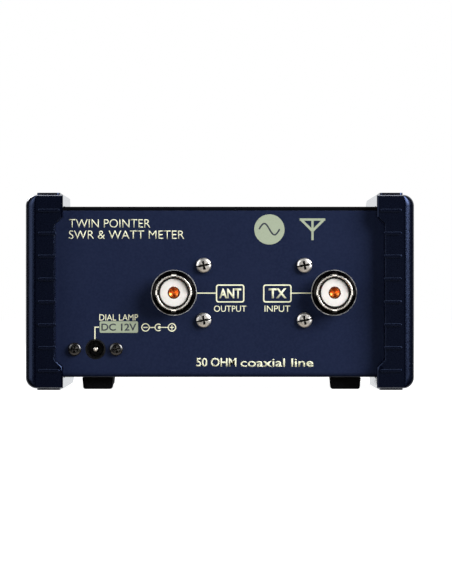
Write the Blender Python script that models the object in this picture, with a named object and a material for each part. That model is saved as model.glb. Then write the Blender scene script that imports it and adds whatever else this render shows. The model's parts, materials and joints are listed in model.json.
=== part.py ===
"""Crossed-needle SWR and power meter: a folded steel case between two ribbed side bumpers.

Lengths below are millimetres, and turn into metres in world(). X runs to the right as seen from the
back panel, Z up from the surface it stands on. Depths are counted forwards from the back panel's
outer face, and Y is the depth less MID_DEPTH, so the origin is under the middle of the object.
"""

from math import cos, radians, sin, tau

import bmesh
import bpy
from mathutils import Matrix, Vector

MM = 0.001
GAP = 0.3  # between pieces that touch

# case
CASE_HALF_WIDTH = 71.0
CASE_BOTTOM = 4.9
CASE_TOP = 71.35
CASE_DEPTH = 87.0
MID_HEIGHT = 38.1
SHEET = 1.2
PANEL_HALF_WIDTH = CASE_HALF_WIDTH - SHEET - GAP
FRONT_PANEL = 83.0  # outer face of the chassis's front panel
EAR_DEPTHS = (16.0, 71.0)  # the upright ears that the bumper screws thread into
EAR_WIDTH = 12.0
EAR_TOP = 45.0

# bumpers
BUMPER_HALF_WIDTH = 75.5
BUMPER_LOW = 0.6
BUMPER_HIGH = 75.9
BUMPER_PROUD = 8.0  # the ribs' faces, past the case's end faces
SCREW_RECESS_RADIUS = 3.4
SCREW_RECESS_DEPTH = 2.2
CLEARANCE_HOLE = 1.8  # radius, for the M3 screws
BUMPER_CORNER = 4.3
BUMPER_ROUNDING = 4.2
BUMPER_FLATNESS = 0.35  # how much of the rounding the top and bottom edges get
LIP_EDGE = 64.0
HOOK_EDGE = 60.9
HOOK_CHAMFER_LOW = 26.4  # above and below the middle height
HOOK_CHAMFER_HIGH = 29.1
SHORT_HOOK = 66.0  # one hook of each bumper ends early, and its top or bottom is narrow from there on
NARROW_EDGE = 66.5
HOOK_END_RADIUS = 5.0
HOOK_NOSE = (16.0, 5.0)  # the long hook's front corner falls away this far, along the depth and down
RIB_START = 63.5
RIB_START_AT_HOOKS = 62.2
RIB_END = 70.5
RIB_HEIGHT = 0.9
RIB_COUNT = 8
RIB_PITCH = 8.88
RIB_WIDTH = 1.2
RIDGE_INNER = 62.2
RIDGE_OUTER = 71.1
RIDGE_START = 4.4  # from the bumper's back end
RIDGE_STOP = 5.0  # from the end of a short hook
RIDGE_TOP = 76.7

# feet
FEET = {"back": (15.2, -48.0, 49.3), "front": (71.8, -49.2, 51.4)}  # depth, and the left and right x
FOOT_BOTTOM_WIDTH = 11.5
FOOT_TOP_WIDTH = 12.2
FOOT_STEM_RADIUS = 2.4

# back panel
SOCKET_CENTRES = {"antenna": -17.9, "transmitter": 44.5}
SOCKET_Z = MID_HEIGHT - 0.3
SOCKET_REACH = 9.0
THREAD_RADIUS = 7.95
MOUTH_RADIUS = 6.15
SHOULDER_RADIUS = 8.65
SHOULDER_PROUD = 1.0
SOCKET_TAIL_RADIUS = 6.9
INSULATOR_RADIUS = 5.45
INSULATOR_RECESS = 1.5  # from the socket's tip
INSULATOR_END = 9.5
CONTACT_RADIUS = 2.3
CONTACT_BORE = 2.0
CONTACT_BORE_END = 5.0
CONTACT_SEAT = 7.0
NOTCH_WIDTH = 1.8
COUPLER_SCREW_X = (-6.3, 33.0)
COUPLER_SCREW_RISE = 10.7
JACK_X = -48.5
JACK_Z = MID_HEIGHT - 22.3
JACK_SCREW_SPACING = 8.1
JACK_SCREW_HOLE = 1.6
JACK_BARREL_RADIUS = 3.7
JACK_BORE_RADIUS = 2.9

# coupler
BOX_LEFT = -31.0
BOX_RIGHT = 57.5
BOX_HALF_HEIGHT = 15.0
BOX_START = SHEET + GAP
BOX_END = 27.0
BOX_WALL = 2.0
LINE_DEPTH = 16.2
LINE_RADIUS = 1.5
TOROID_X = 13.3
LEAD_HOLE = (30.0, 33.0)  # x and z of the hole in the coupler's lid

# meter
WINDOW_X = 12.5
WINDOW_WIDTH = 88.0
WINDOW_LOW = 22.5
WINDOW_HIGH = 65.0
WINDOW_CORNER = 3.0
HOUSING_START = 52.0
HOUSING_END = FRONT_PANEL - SHEET - GAP
HOUSING_HALF_WIDTH = 47.5
HOUSING_LOW = 8.7
HOUSING_HIGH = 67.5
HOUSING_WALL = 1.8
BOARD_START = 42.0
BOARD_THICKNESS = 1.6
BOARD_HIGH = 54.0
DIAL_DEPTH = 76.2
DIAL_THICKNESS = 0.8
LAMP_Z = 59.0
PIVOT_Z = 17.5
NEEDLE_LENGTH = 57.0
NEEDLE_REST = 10.0  # degrees above level
NEEDLE_SWEEP = 42.0  # degrees from rest to full scale, where both tips meet over the window's middle
NEEDLE_PLANES = {"forward": 78.6, "reflected": 80.5}
NEEDLE_THICKNESS = 0.5
PIVOT_SPREAD = NEEDLE_LENGTH * cos(radians(NEEDLE_REST + NEEDLE_SWEEP))
STAFF_RADIUS = 0.4
STAFF_HOLE = 0.46
YOKE_START = 60.0
YOKE_END = 69.0
YOKE_RADIUS = 6.6
YOKE_BORE = 5.2
CORE_RADIUS = 3.2
BRIDGE_REACH = 4.2

# front
BEZEL_START = FRONT_PANEL + GAP
BEZEL_FACE = 91.5
BEZEL_WALL = 2.5
CONTROL_X = -47.3
KNOB_Z = 48.5
KNOB_RADIUS = 10.0
KNOB_FACE = 103.0
BUTTON_Z = 22.0
BUTTON_SIZE = 8.0
BUTTON_FACE = 95.0
SHAFT_RADIUS = 3.0
SHAFT_BORE = 3.06
SWITCH_HALF = 11.0
SWITCH_START = 66.0
SWITCH_END = 75.0

MID_DEPTH = (KNOB_FACE - SOCKET_REACH) / 2


def world(x, depth, z):
    """Metres, from millimetres across, forwards of the back panel, and up."""
    return Vector((x, depth - MID_DEPTH, z)) * MM


def material(name, color, roughness, metallic=0.0):
    found = bpy.data.materials.get(name)
    if found:
        return found
    made = bpy.data.materials.new(name)
    made.use_nodes = True
    shader = made.node_tree.nodes["Principled BSDF"]
    shader.inputs["Base Color"].default_value = (*color, 1.0)
    shader.inputs["Roughness"].default_value = roughness
    shader.inputs["Metallic"].default_value = metallic
    return made


MATERIALS = {
    "navy_paint": ((0.014, 0.019, 0.042), 0.42, 0.0),
    "cover_black": ((0.006, 0.006, 0.008), 0.4, 0.0),
    "bumper_plastic": ((0.004, 0.005, 0.010), 0.45, 0.0),
    "black_plastic": ((0.008, 0.008, 0.009), 0.4, 0.0),
    "foot_rubber": ((0.006, 0.006, 0.007), 0.75, 0.0),
    "nickel": ((0.62, 0.60, 0.56), 0.22, 1.0),
    "black_screw": ((0.02, 0.02, 0.02), 0.3, 0.6),
    "zinc_steel": ((0.55, 0.56, 0.57), 0.35, 1.0),
    "insulator_white": ((0.80, 0.78, 0.74), 0.4, 0.0),
    "copper": ((0.80, 0.33, 0.12), 0.28, 1.0),
    "brass": ((0.72, 0.52, 0.22), 0.3, 1.0),
    "ferrite": ((0.03, 0.03, 0.032), 0.7, 0.0),
    "circuit_board": ((0.02, 0.12, 0.05), 0.5, 0.0),
    "housing_white": ((0.75, 0.74, 0.70), 0.5, 0.0),
    "dial_card": ((0.86, 0.84, 0.74), 0.6, 0.0),
    "clear_window": ((0.92, 0.94, 0.95), 0.05, 0.0),
    "needle_black": ((0.01, 0.01, 0.01), 0.5, 0.0),
    "soft_iron": ((0.32, 0.32, 0.33), 0.45, 1.0),
    "lamp_glass": ((0.95, 0.85, 0.60), 0.1, 0.0),
    "lead_sleeve": ((0.35, 0.02, 0.02), 0.5, 0.0),
}


# ---- shapes ---------------------------------------------------------------------------------------

def to_object(name, build, material_name, origin=(0, MID_DEPTH, 0)):
    """Turn a bmesh in world metres into an object whose origin is at `origin`, given in millimetres."""
    bmesh.ops.recalc_face_normals(build, faces=build.faces)
    place = world(*origin)
    bmesh.ops.translate(build, vec=-place, verts=build.verts)
    mesh = bpy.data.meshes.new(name)
    build.to_mesh(mesh)
    build.free()
    made = bpy.data.objects.new(name, mesh)
    made.location = place
    bpy.context.collection.objects.link(made)
    mesh.materials.append(material(material_name, *MATERIALS[material_name]))
    return made


def prism(outline, low, high, along="y"):
    """A bmesh: an outline pushed along one axis. Its pairs are the other two, in x, depth, z order."""
    build = bmesh.new()
    ends = []
    for level in (low, high):
        if along == "y":
            places = [world(u, level, v) for u, v in outline]
        elif along == "x":
            places = [world(level, u, v) for u, v in outline]
        else:
            places = [world(u, v, level) for u, v in outline]
        ends.append([build.verts.new(place) for place in places])
    build.faces.new(ends[0])
    build.faces.new(ends[1])
    for i in range(len(outline)):
        j = (i + 1) % len(outline)
        build.faces.new((ends[0][i], ends[0][j], ends[1][j], ends[1][i]))
    return build


def box(low, high):
    """A bmesh box between two corners (x, depth, z)."""
    outline = [(low[0], low[2]), (high[0], low[2]), (high[0], high[2]), (low[0], high[2])]
    return prism(outline, low[1], high[1])


def arc(cu, cv, radius, start, end, steps):
    """Points on an arc, angles in degrees."""
    angles = [radians(start + (end - start) * i / steps) for i in range(steps + 1)]
    return [(cu + radius * cos(angle), cv + radius * sin(angle)) for angle in angles]


def circle(cu, cv, radius, sides):
    return arc(cu, cv, radius, 0, 360 - 360 / sides, sides - 1)


def rectangle(cu, cv, half_u, half_v):
    return [(cu - half_u, cv - half_v), (cu + half_u, cv - half_v),
            (cu + half_u, cv + half_v), (cu - half_u, cv + half_v)]


def rounded(low_u, high_u, low_v, high_v, radius, steps=4):
    """A rectangle's outline with round corners."""
    points = []
    for cu, cv, start in ((high_u - radius, high_v - radius, 0), (low_u + radius, high_v - radius, 90),
                          (low_u + radius, low_v + radius, 180), (high_u - radius, low_v + radius, 270)):
        points += arc(cu, cv, radius, start, start + 90, steps)
    return points


def turned(profile, at, sides, axis="y", ring=False):
    """A bmesh of revolution from (place along the axis, radius) pairs; `ring` joins the last to the first."""
    build = bmesh.new()
    rows = []
    for along, radius in profile:
        if radius == 0:
            rows.append([build.verts.new(around(at, axis, along, 0, 0))])
        else:
            angles = [tau * i / sides for i in range(sides)]
            rows.append([build.verts.new(around(at, axis, along, radius, angle)) for angle in angles])
    pairs = list(zip(rows, rows[1:]))
    if ring:
        pairs.append((rows[-1], rows[0]))
    for first, second in pairs:
        for i in range(sides):
            j = (i + 1) % sides
            if len(first) == 1:
                build.faces.new((first[0], second[i], second[j]))
            elif len(second) == 1:
                build.faces.new((first[i], first[j], second[0]))
            else:
                build.faces.new((first[i], first[j], second[j], second[i]))
    return build


def loft(rows):
    """A bmesh skinned over rows of places, and closed by its first and last rows."""
    build = bmesh.new()
    rings = [[build.verts.new(place) for place in row] for row in rows]
    for first, second in zip(rings, rings[1:]):
        for i in range(len(first)):
            j = (i + 1) % len(first)
            build.faces.new((first[i], first[j], second[j], second[i]))
    build.faces.new(rings[0])
    build.faces.new(rings[-1])
    return build


def around(at, axis, along, radius, angle):
    """The world place at a distance and an angle about an axis through `at`."""
    x, depth, z = at
    u = radius * cos(angle)
    v = radius * sin(angle)
    if axis == "y":
        return world(x + u, along, z + v)
    if axis == "x":
        return world(along, depth + u, z + v)
    return world(x + u, depth + v, along)


def spin(build, at, degrees, axis):
    """Turn a bmesh about an axis through `at`."""
    centre = world(*at)
    bmesh.ops.rotate(build, verts=build.verts, cent=centre, matrix=Matrix.Rotation(radians(degrees), 3, axis))
    return build


def combine(target, tools, operation):
    """Join or cut an object with bmesh tools, one Boolean each, and keep the result as its mesh."""
    for tool in tools:
        cutter = to_object("cutter", tool, "black_plastic")
        modifier = target.modifiers.new("combine", "BOOLEAN")
        modifier.operation = operation
        modifier.solver = "EXACT"
        modifier.object = cutter
        bpy.context.view_layer.update()
        graph = bpy.context.evaluated_depsgraph_get()
        result = bpy.data.meshes.new_from_object(target.evaluated_get(graph))
        target.modifiers.clear()
        target.data = result
        bpy.data.objects.remove(cutter)
    return target


def join(target, *tools):
    return combine(target, tools, "UNION")


def cut(target, *tools):
    return combine(target, tools, "DIFFERENCE")


def smooth(target, angle=35):
    target.data.shade_smooth()
    target.data.set_sharp_from_angle(angle=radians(angle))
    return target


def hole(x, z, radius, low, high, sides=24):
    """A round cutter along the depth."""
    return prism(circle(x, z, radius, sides), low, high)


# ---- case -----------------------------------------------------------------------------------------

def chassis():
    """Back panel, bottom and front panel folded from one sheet, with four ears for the bumper screws."""
    low = CASE_BOTTOM
    high = CASE_TOP - SHEET - GAP
    bend = 2.0
    outline = [(0, high), (0, low + bend)]
    outline += arc(bend, low + bend, bend, 180, 270, 4)[1:]
    outline += arc(FRONT_PANEL - bend, low + bend, bend, 270, 360, 4)
    outline += [(FRONT_PANEL, high), (FRONT_PANEL - SHEET, high)]
    outline += arc(FRONT_PANEL - bend, low + bend, bend - SHEET, 360, 270, 3)
    outline += arc(bend, low + bend, bend - SHEET, 270, 180, 3)
    outline += [(SHEET, high)]
    made = to_object("chassis", prism(outline, -PANEL_HALF_WIDTH, PANEL_HALF_WIDTH, "x"), "navy_paint")
    for side in (-1, 1):
        inner, outer = sorted((side * PANEL_HALF_WIDTH, side * (PANEL_HALF_WIDTH - SHEET)))
        for depth in EAR_DEPTHS:
            ear = rounded(depth - EAR_WIDTH / 2, depth + EAR_WIDTH / 2, low + 0.6, EAR_TOP, 2.0, 2)
            join(made, prism(ear, inner, outer, "x"))
            cut(made, prism(circle(depth, MID_HEIGHT, CLEARANCE_HOLE, 12), inner - 1, outer + 1, "x"))
    for x in SOCKET_CENTRES.values():
        cut(made, hole(x, SOCKET_Z, SHOULDER_RADIUS + GAP, -1, 3, 24))
    for x in COUPLER_SCREW_X:
        for rise in (-COUPLER_SCREW_RISE, COUPLER_SCREW_RISE):
            cut(made, hole(x, SOCKET_Z + rise, CLEARANCE_HOLE, -1, 3, 12))
    cut(made, hole(JACK_X, JACK_Z, JACK_BARREL_RADIUS + GAP, -1, 3, 20))
    for side in (-1, 1):
        cut(made, hole(JACK_X + side * JACK_SCREW_SPACING, JACK_Z, JACK_SCREW_HOLE, -1, 3, 12))
    window = rounded(WINDOW_X - WINDOW_WIDTH / 2, WINDOW_X + WINDOW_WIDTH / 2, WINDOW_LOW, WINDOW_HIGH,
                     WINDOW_CORNER, 3)
    cut(made, prism(window, FRONT_PANEL - 3, FRONT_PANEL + 1))
    cut(made, hole(CONTROL_X, KNOB_Z, 4.9, FRONT_PANEL - 3, FRONT_PANEL + 1, 20))
    cut(made, prism(rounded(CONTROL_X - 3, CONTROL_X + 3, BUTTON_Z - 3, BUTTON_Z + 3, 0.6, 1),
                    FRONT_PANEL - 3, FRONT_PANEL + 1))
    for depth, left, right in FEET.values():
        for x in (left, right):
            cut(made, prism(circle(x, depth, FOOT_STEM_RADIUS + GAP, 16), low - 1, low + 3, "z"))
    return made


def top_cover():
    """Top and both sides folded from one sheet; its back edge closes the panel's top."""
    bend = 2.2
    side = CASE_HALF_WIDTH
    low = CASE_BOTTOM + 0.3
    outline = [(side, low)]
    outline += arc(side - bend, CASE_TOP - bend, bend, 0, 90, 4)
    outline += arc(-side + bend, CASE_TOP - bend, bend, 90, 180, 4)
    outline += [(-side, low), (-side + SHEET, low)]
    outline += arc(-side + bend, CASE_TOP - bend, bend - SHEET, 180, 90, 3)
    outline += arc(side - bend, CASE_TOP - bend, bend - SHEET, 90, 0, 3)
    outline += [(side - SHEET, low)]
    made = to_object("top_cover", prism(outline, 0, FRONT_PANEL), "cover_black")
    for depth in EAR_DEPTHS:
        cut(made, prism(circle(depth, MID_HEIGHT, CLEARANCE_HOLE, 12), -side - 1, side + 1, "x"))
    return made


def lip_opening(edge_gap=0.0):
    """The outline of the opening between the bumpers' end lips, narrower at the hooks."""
    lip = LIP_EDGE - edge_gap
    hook = HOOK_EDGE - edge_gap
    low, high = HOOK_CHAMFER_LOW, HOOK_CHAMFER_HIGH
    top = CASE_TOP - MID_HEIGHT
    bottom = MID_HEIGHT - CASE_BOTTOM
    right = [(hook, -bottom), (hook, -high), (lip, -low), (lip, low), (hook, high), (hook, top)]
    return [(x, MID_HEIGHT + z) for x, z in right] + [(-x, MID_HEIGHT + z) for x, z in reversed(right)]


def front_bezel():
    """Moulded front: a flange behind the bumpers' lips and a raised middle with the window and controls."""
    flange = rounded(-CASE_HALF_WIDTH, CASE_HALF_WIDTH, CASE_BOTTOM, CASE_TOP, 2.2, 3)
    made = to_object("front_bezel", prism(flange, BEZEL_START, CASE_DEPTH), "black_plastic")
    join(made, prism(lip_opening(GAP + 0.1), BEZEL_START + 1, BEZEL_FACE))
    cavity = rounded(-LIP_EDGE + 4, LIP_EDGE - 4, CASE_BOTTOM + 3, CASE_TOP - 3, 3.0, 3)
    cut(made, prism(cavity, BEZEL_START - 1, BEZEL_FACE - BEZEL_WALL))
    window = rounded(WINDOW_X - WINDOW_WIDTH / 2, WINDOW_X + WINDOW_WIDTH / 2, WINDOW_LOW, WINDOW_HIGH,
                     WINDOW_CORNER, 4)
    cut(made, prism(window, BEZEL_FACE - 4, BEZEL_FACE + 1))
    cut(made, hole(CONTROL_X, KNOB_Z, 4.0, BEZEL_FACE - 4, BEZEL_FACE + 1))
    half = BUTTON_SIZE / 2 + GAP
    cut(made, prism(rounded(CONTROL_X - half, CONTROL_X + half, BUTTON_Z - half, BUTTON_Z + half, 1.0, 2),
                    BEZEL_FACE - 4, BEZEL_FACE + 1))
    for side in (-1, 1):
        cut(made, hole(WINDOW_X + side * PIVOT_SPREAD, PIVOT_Z, 1.6, BEZEL_FACE - 4, BEZEL_FACE + 1))
    return made


def bumper_outline(inset):
    """A bumper's outline seen along the depth, drawn in at its outer side and less at top and bottom."""
    x = BUMPER_HALF_WIDTH - BUMPER_CORNER
    wide = BUMPER_CORNER - inset
    tall = BUMPER_CORNER - inset * BUMPER_FLATNESS
    outline = [(HOOK_EDGE, BUMPER_LOW + BUMPER_CORNER - tall)]
    for z, start in ((BUMPER_LOW + BUMPER_CORNER, 270), (BUMPER_HIGH - BUMPER_CORNER, 0)):
        outline += [(x + wide * u, z + tall * v) for u, v in arc(0, 0, 1, start, start + 90, 5)]
    return outline + [(HOOK_EDGE, BUMPER_HIGH - BUMPER_CORNER + tall)]


def bumper(name, side):
    """A side bumper: an outer wall, end lips with ribs, and hooks over the case's top and bottom.

    The right bumper's top hook runs its whole length and its bottom one is short. The left bumper is
    the same moulding turned upside down.
    """
    back = -BUMPER_PROUD
    front = CASE_DEPTH + BUMPER_PROUD
    rounding = arc(BUMPER_ROUNDING, BUMPER_ROUNDING, BUMPER_ROUNDING, 180, 270, 3)
    levels = [(back + RIB_HEIGHT + deep, inset) for deep, inset in rounding]
    levels += [(front - RIB_HEIGHT - deep, inset) for deep, inset in reversed(rounding)]
    blank = loft([[world(x, depth, z) for x, z in bumper_outline(inset)] for depth, inset in levels])
    made = to_object(name, blank, "bumper_plastic")
    # room for the case, and the opening between the lips
    reach = CASE_HALF_WIDTH + GAP
    cut(made, box((0, -GAP, CASE_BOTTOM - GAP), (reach, CASE_DEPTH + GAP, CASE_TOP + GAP)))
    cut(made, prism(lip_opening(), back - 1, front + 1))
    long_edge, short_edge = (1, -1) if side > 0 else (-1, 1)
    faces = {1: BUMPER_HIGH, -1: BUMPER_LOW}
    heights = {1: (CASE_TOP, RIDGE_TOP), -1: (CASE_BOTTOM, 0.0)}
    # the long hook's nose
    deep, fall = HOOK_NOSE
    face = faces[long_edge]
    nose = [(front - deep + deep * u, face - long_edge * fall * (1 - v)) for u, v in arc(0, 0, 1, 90, 0, 6)]
    nose += [(front + 1, face - long_edge * fall), (front + 1, face + long_edge),
             (front - deep, face + long_edge)]
    cut(made, prism(nose, 0, BUMPER_HALF_WIDTH + 1, "x"))
    # the short hook's rounded end, and the narrow edge beyond it
    hook_end = back + SHORT_HOOK
    case_level, edge_level = heights[short_edge]
    inside = case_level - short_edge * 0.5
    beyond = edge_level + short_edge
    radius = HOOK_END_RADIUS
    end = arc(hook_end - radius, edge_level - short_edge * radius, radius, short_edge * 90, 0, 4)
    end += [(hook_end, inside), (front + 1, inside), (front + 1, beyond), (hook_end - radius, beyond)]
    cut(made, prism(end, 0, NARROW_EDGE, "x"))
    # a ridge along each hook
    for edge, stop in ((long_edge, front - deep), (short_edge, hook_end - RIDGE_STOP)):
        pad = rounded(RIDGE_INNER, RIDGE_OUTER, back + RIDGE_START, stop, 1.2, 2)
        join(made, prism(pad, *sorted((faces[edge] - edge, heights[edge][1])), "z"))
    # ribs across both lips
    first_rib = MID_HEIGHT - RIB_PITCH * (RIB_COUNT - 1) / 2 + 0.6
    for i in range(RIB_COUNT):
        start = RIB_START_AT_HOOKS if i in (0, RIB_COUNT - 1) else RIB_START
        z = first_rib + i * RIB_PITCH
        for low, high in ((back, back + RIB_HEIGHT + 1), (front - RIB_HEIGHT - 1, front)):
            join(made, box((start, low, z - RIB_WIDTH / 2), (RIB_END, high, z + RIB_WIDTH / 2)))
    for depth in EAR_DEPTHS:
        wall = BUMPER_HALF_WIDTH
        recess = circle(depth, MID_HEIGHT, SCREW_RECESS_RADIUS, 20)
        cut(made, prism(circle(depth, MID_HEIGHT, CLEARANCE_HOLE, 12), reach - 1, wall + 1, "x"),
            prism(recess, wall - SCREW_RECESS_DEPTH, wall + 1, "x"))
    if side < 0:
        mirror(made)
    return smooth(made)


def mirror(target):
    """Mirror an object's mesh across the middle plane, keeping its faces outward."""
    build = bmesh.new()
    build.from_mesh(target.data)
    bmesh.ops.scale(build, vec=(-1, 1, 1), verts=build.verts)
    bmesh.ops.reverse_faces(build, faces=build.faces)
    build.to_mesh(target.data)
    build.free()


def foot(name, x, depth):
    """A rubber foot with a stem that pushes through the bottom."""
    top = CASE_BOTTOM - GAP
    half_low = FOOT_BOTTOM_WIDTH / 2
    half_high = FOOT_TOP_WIDTH / 2
    rows = []
    for z, half in ((0, half_low - 0.8), (0.8, half_low), (top, half_high)):
        outline = rounded(x - half, x + half, depth - half, depth + half, 1.2, 2)
        rows.append([world(u, v, z) for u, v in outline])
    made = to_object(name, loft(rows), "foot_rubber", (x, depth, 0))
    stem = [(top - 1, 0), (top - 1, FOOT_STEM_RADIUS), (CASE_BOTTOM + SHEET + 1.8, FOOT_STEM_RADIUS - 0.6),
            (CASE_BOTTOM + SHEET + 1.8, 0)]
    join(made, turned(stem, (x, depth, 0), 12, "z"))
    return made


def pan_screw(name, at, head_radius, head_height, shank_radius, length, material_name,
              axis="y", way=1, slot=False):
    """A pan-head screw with a cross recess. `at` is the middle under the head, `way` where the shank goes."""
    start = {"x": at[0], "y": at[1], "z": at[2]}[axis]
    profile = [(start - way * head_height, 0), (start - way * head_height, head_radius * 0.45),
               (start - way * head_height * 0.78, head_radius * 0.8),
               (start - way * head_height * 0.4, head_radius), (start, head_radius),
               (start, shank_radius), (start + way * length, shank_radius), (start + way * length, 0)]
    made = to_object(name, turned(profile, at, 12, axis), material_name, at)
    deep = sorted((start - way * (head_height + 1), start - way * head_height * 0.35))
    shallow = sorted((start - way * (head_height + 1), start - way * head_height * 0.7))
    arm = head_radius * 0.55
    half = head_radius * 0.14
    centre = {"x": (at[1], at[2]), "y": (at[0], at[2])}[axis]
    for wide, tall in ((arm, half), (half, arm)):
        cut(made, prism(rectangle(*centre, wide, tall), *deep, axis))
    if slot:
        cut(made, prism(rectangle(*centre, head_radius + 1, half), *shallow, axis))
    return smooth(made)


def case():
    chassis()
    top_cover()
    front_bezel()
    for name, side in (("bumper_left", -1), ("bumper_right", 1)):
        bumper(name, side)
    for row, (depth, left, right) in FEET.items():
        for name, x in (("left", left), ("right", right)):
            foot(f"foot_{row}_{name}", x, depth)
    for row, depth in zip(("back", "front"), EAR_DEPTHS):
        for name, side in (("left", -1), ("right", 1)):
            seat = side * (BUMPER_HALF_WIDTH - SCREW_RECESS_DEPTH + GAP)
            pan_screw(f"bumper_screw_{row}_{name}", (seat, depth, MID_HEIGHT), 2.9, 1.7, 1.5, 7.5,
                      "black_screw", "x", -side)


# ---- coupler --------------------------------------------------------------------------------------

def socket(label, x):
    """A threaded coaxial socket: shell, insulator, slotted centre contact, and the nut inside the box."""
    at = (x, 0, SOCKET_Z)
    tip = -SOCKET_REACH
    bore_end = -2.6
    tail_end = INSULATOR_END
    shell = [(tip, MOUTH_RADIUS), (tip, THREAD_RADIUS - 1.0), (tip + 0.9, THREAD_RADIUS),
             (-SHOULDER_PROUD, THREAD_RADIUS), (-SHOULDER_PROUD, SHOULDER_RADIUS), (SHEET, SHOULDER_RADIUS),
             (SHEET, SOCKET_TAIL_RADIUS), (tail_end, SOCKET_TAIL_RADIUS), (tail_end, 4.4),
             (bore_end, 4.4), (bore_end, MOUTH_RADIUS)]
    made = to_object(f"{label}_socket_shell", turned(shell, at, 28, ring=True), "nickel", at)
    reach = THREAD_RADIUS + 1
    half = NOTCH_WIDTH / 2
    for turn in (0, 90):
        notch = box((x - reach, tip - 1, SOCKET_Z - half), (x + reach, tip + 1, SOCKET_Z + half))
        cut(made, spin(notch, at, turn, "Y"))
    smooth(made)
    face = tip + INSULATOR_RECESS
    seat = CONTACT_SEAT
    insulator = [(face, CONTACT_RADIUS + GAP), (face, INSULATOR_RADIUS), (bore_end - GAP, INSULATOR_RADIUS),
                 (bore_end - GAP, 4.1), (tail_end, 4.1), (tail_end, 1.8), (seat, 1.8),
                 (seat, CONTACT_RADIUS + GAP)]
    made = turned(insulator, at, 24, ring=True)
    smooth(to_object(f"{label}_socket_insulator", made, "insulator_white", at))
    mouth = face - GAP
    tail = LINE_DEPTH - LINE_RADIUS - GAP
    contact = [(CONTACT_BORE_END, 0), (CONTACT_BORE_END, CONTACT_BORE), (mouth, CONTACT_BORE),
               (mouth, CONTACT_RADIUS), (seat - GAP, CONTACT_RADIUS), (seat - GAP, 1.5), (tail, 1.5),
               (tail, 0)]
    made = to_object(f"{label}_socket_contact", turned(contact, at, 16), "copper", at)
    for turn in (45, 135):
        slot = box((x - 4, mouth - 1, SOCKET_Z - 0.2), (x + 4, mouth + 5, SOCKET_Z + 0.2))
        cut(made, spin(slot, at, turn, "Y"))
    smooth(made)
    seat = BOX_START + BOX_WALL + GAP
    nut = prism(circle(x, SOCKET_Z, 11.0, 6), seat, seat + 3)
    made = to_object(f"{label}_socket_nut", nut, "zinc_steel", at)
    smooth(cut(made, hole(x, SOCKET_Z, SOCKET_TAIL_RADIUS + GAP, seat - 1, seat + 4, 20)))


def coupler():
    """The screened box behind the back panel, with the line between the sockets and its pick-up."""
    low = SOCKET_Z - BOX_HALF_HEIGHT
    high = SOCKET_Z + BOX_HALF_HEIGHT
    made = to_object("coupler_box", box((BOX_LEFT, BOX_START, low), (BOX_RIGHT, BOX_END, high)), "zinc_steel")
    cut(made, box((BOX_LEFT + BOX_WALL, BOX_START + BOX_WALL, low + BOX_WALL),
                  (BOX_RIGHT - BOX_WALL, BOX_END + 1, high - BOX_WALL)))
    for x in SOCKET_CENTRES.values():
        cut(made, hole(x, SOCKET_Z, SOCKET_TAIL_RADIUS + GAP, BOX_START - 1, BOX_START + 3, 20))
    for x in COUPLER_SCREW_X:
        for rise in (-COUPLER_SCREW_RISE, COUPLER_SCREW_RISE):
            cut(made, hole(x, SOCKET_Z + rise, CLEARANCE_HOLE, BOX_START - 1, BOX_START + 3, 12))
    lid = box((BOX_LEFT, BOX_END + GAP, low), (BOX_RIGHT, BOX_END + GAP + SHEET, high))
    lid_hole = hole(*LEAD_HOLE, 1.6, BOX_END - 1, BOX_END + 3, 12)
    cut(to_object("coupler_lid", lid, "zinc_steel"), lid_hole)
    left, right = sorted(SOCKET_CENTRES.values())
    line = [(left - 2, 0), (left - 2, LINE_RADIUS), (right + 2, LINE_RADIUS), (right + 2, 0)]
    at = (0, LINE_DEPTH, SOCKET_Z)
    smooth(to_object("line_conductor", turned(line, at, 12, "x"), "copper", at))
    ring = [(TOROID_X - 3.5, 4.0), (TOROID_X - 3.5, 8.5), (TOROID_X - 3.0, 9.0), (TOROID_X + 3.0, 9.0),
            (TOROID_X + 3.5, 8.5), (TOROID_X + 3.5, 4.0)]
    smooth(to_object("current_transformer", turned(ring, at, 16, "x", ring=True), "ferrite", at))
    board_top = SOCKET_Z - 10.0
    board = box((TOROID_X - 25, 8, board_top - BOARD_THICKNESS), (TOROID_X + 25, BOX_END - 1, board_top))
    to_object("detector_board", board, "circuit_board")
    for label, x in SOCKET_CENTRES.items():
        socket(label, x)
    for column, x in zip(("left", "right"), COUPLER_SCREW_X):
        for row, rise in (("low", -COUPLER_SCREW_RISE), ("high", COUPLER_SCREW_RISE)):
            pan_screw(f"coupler_screw_{row}_{column}", (x, -GAP, SOCKET_Z + rise), 3.0, 1.9, 1.5, 6.0,
                      "nickel", slot=True)


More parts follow.
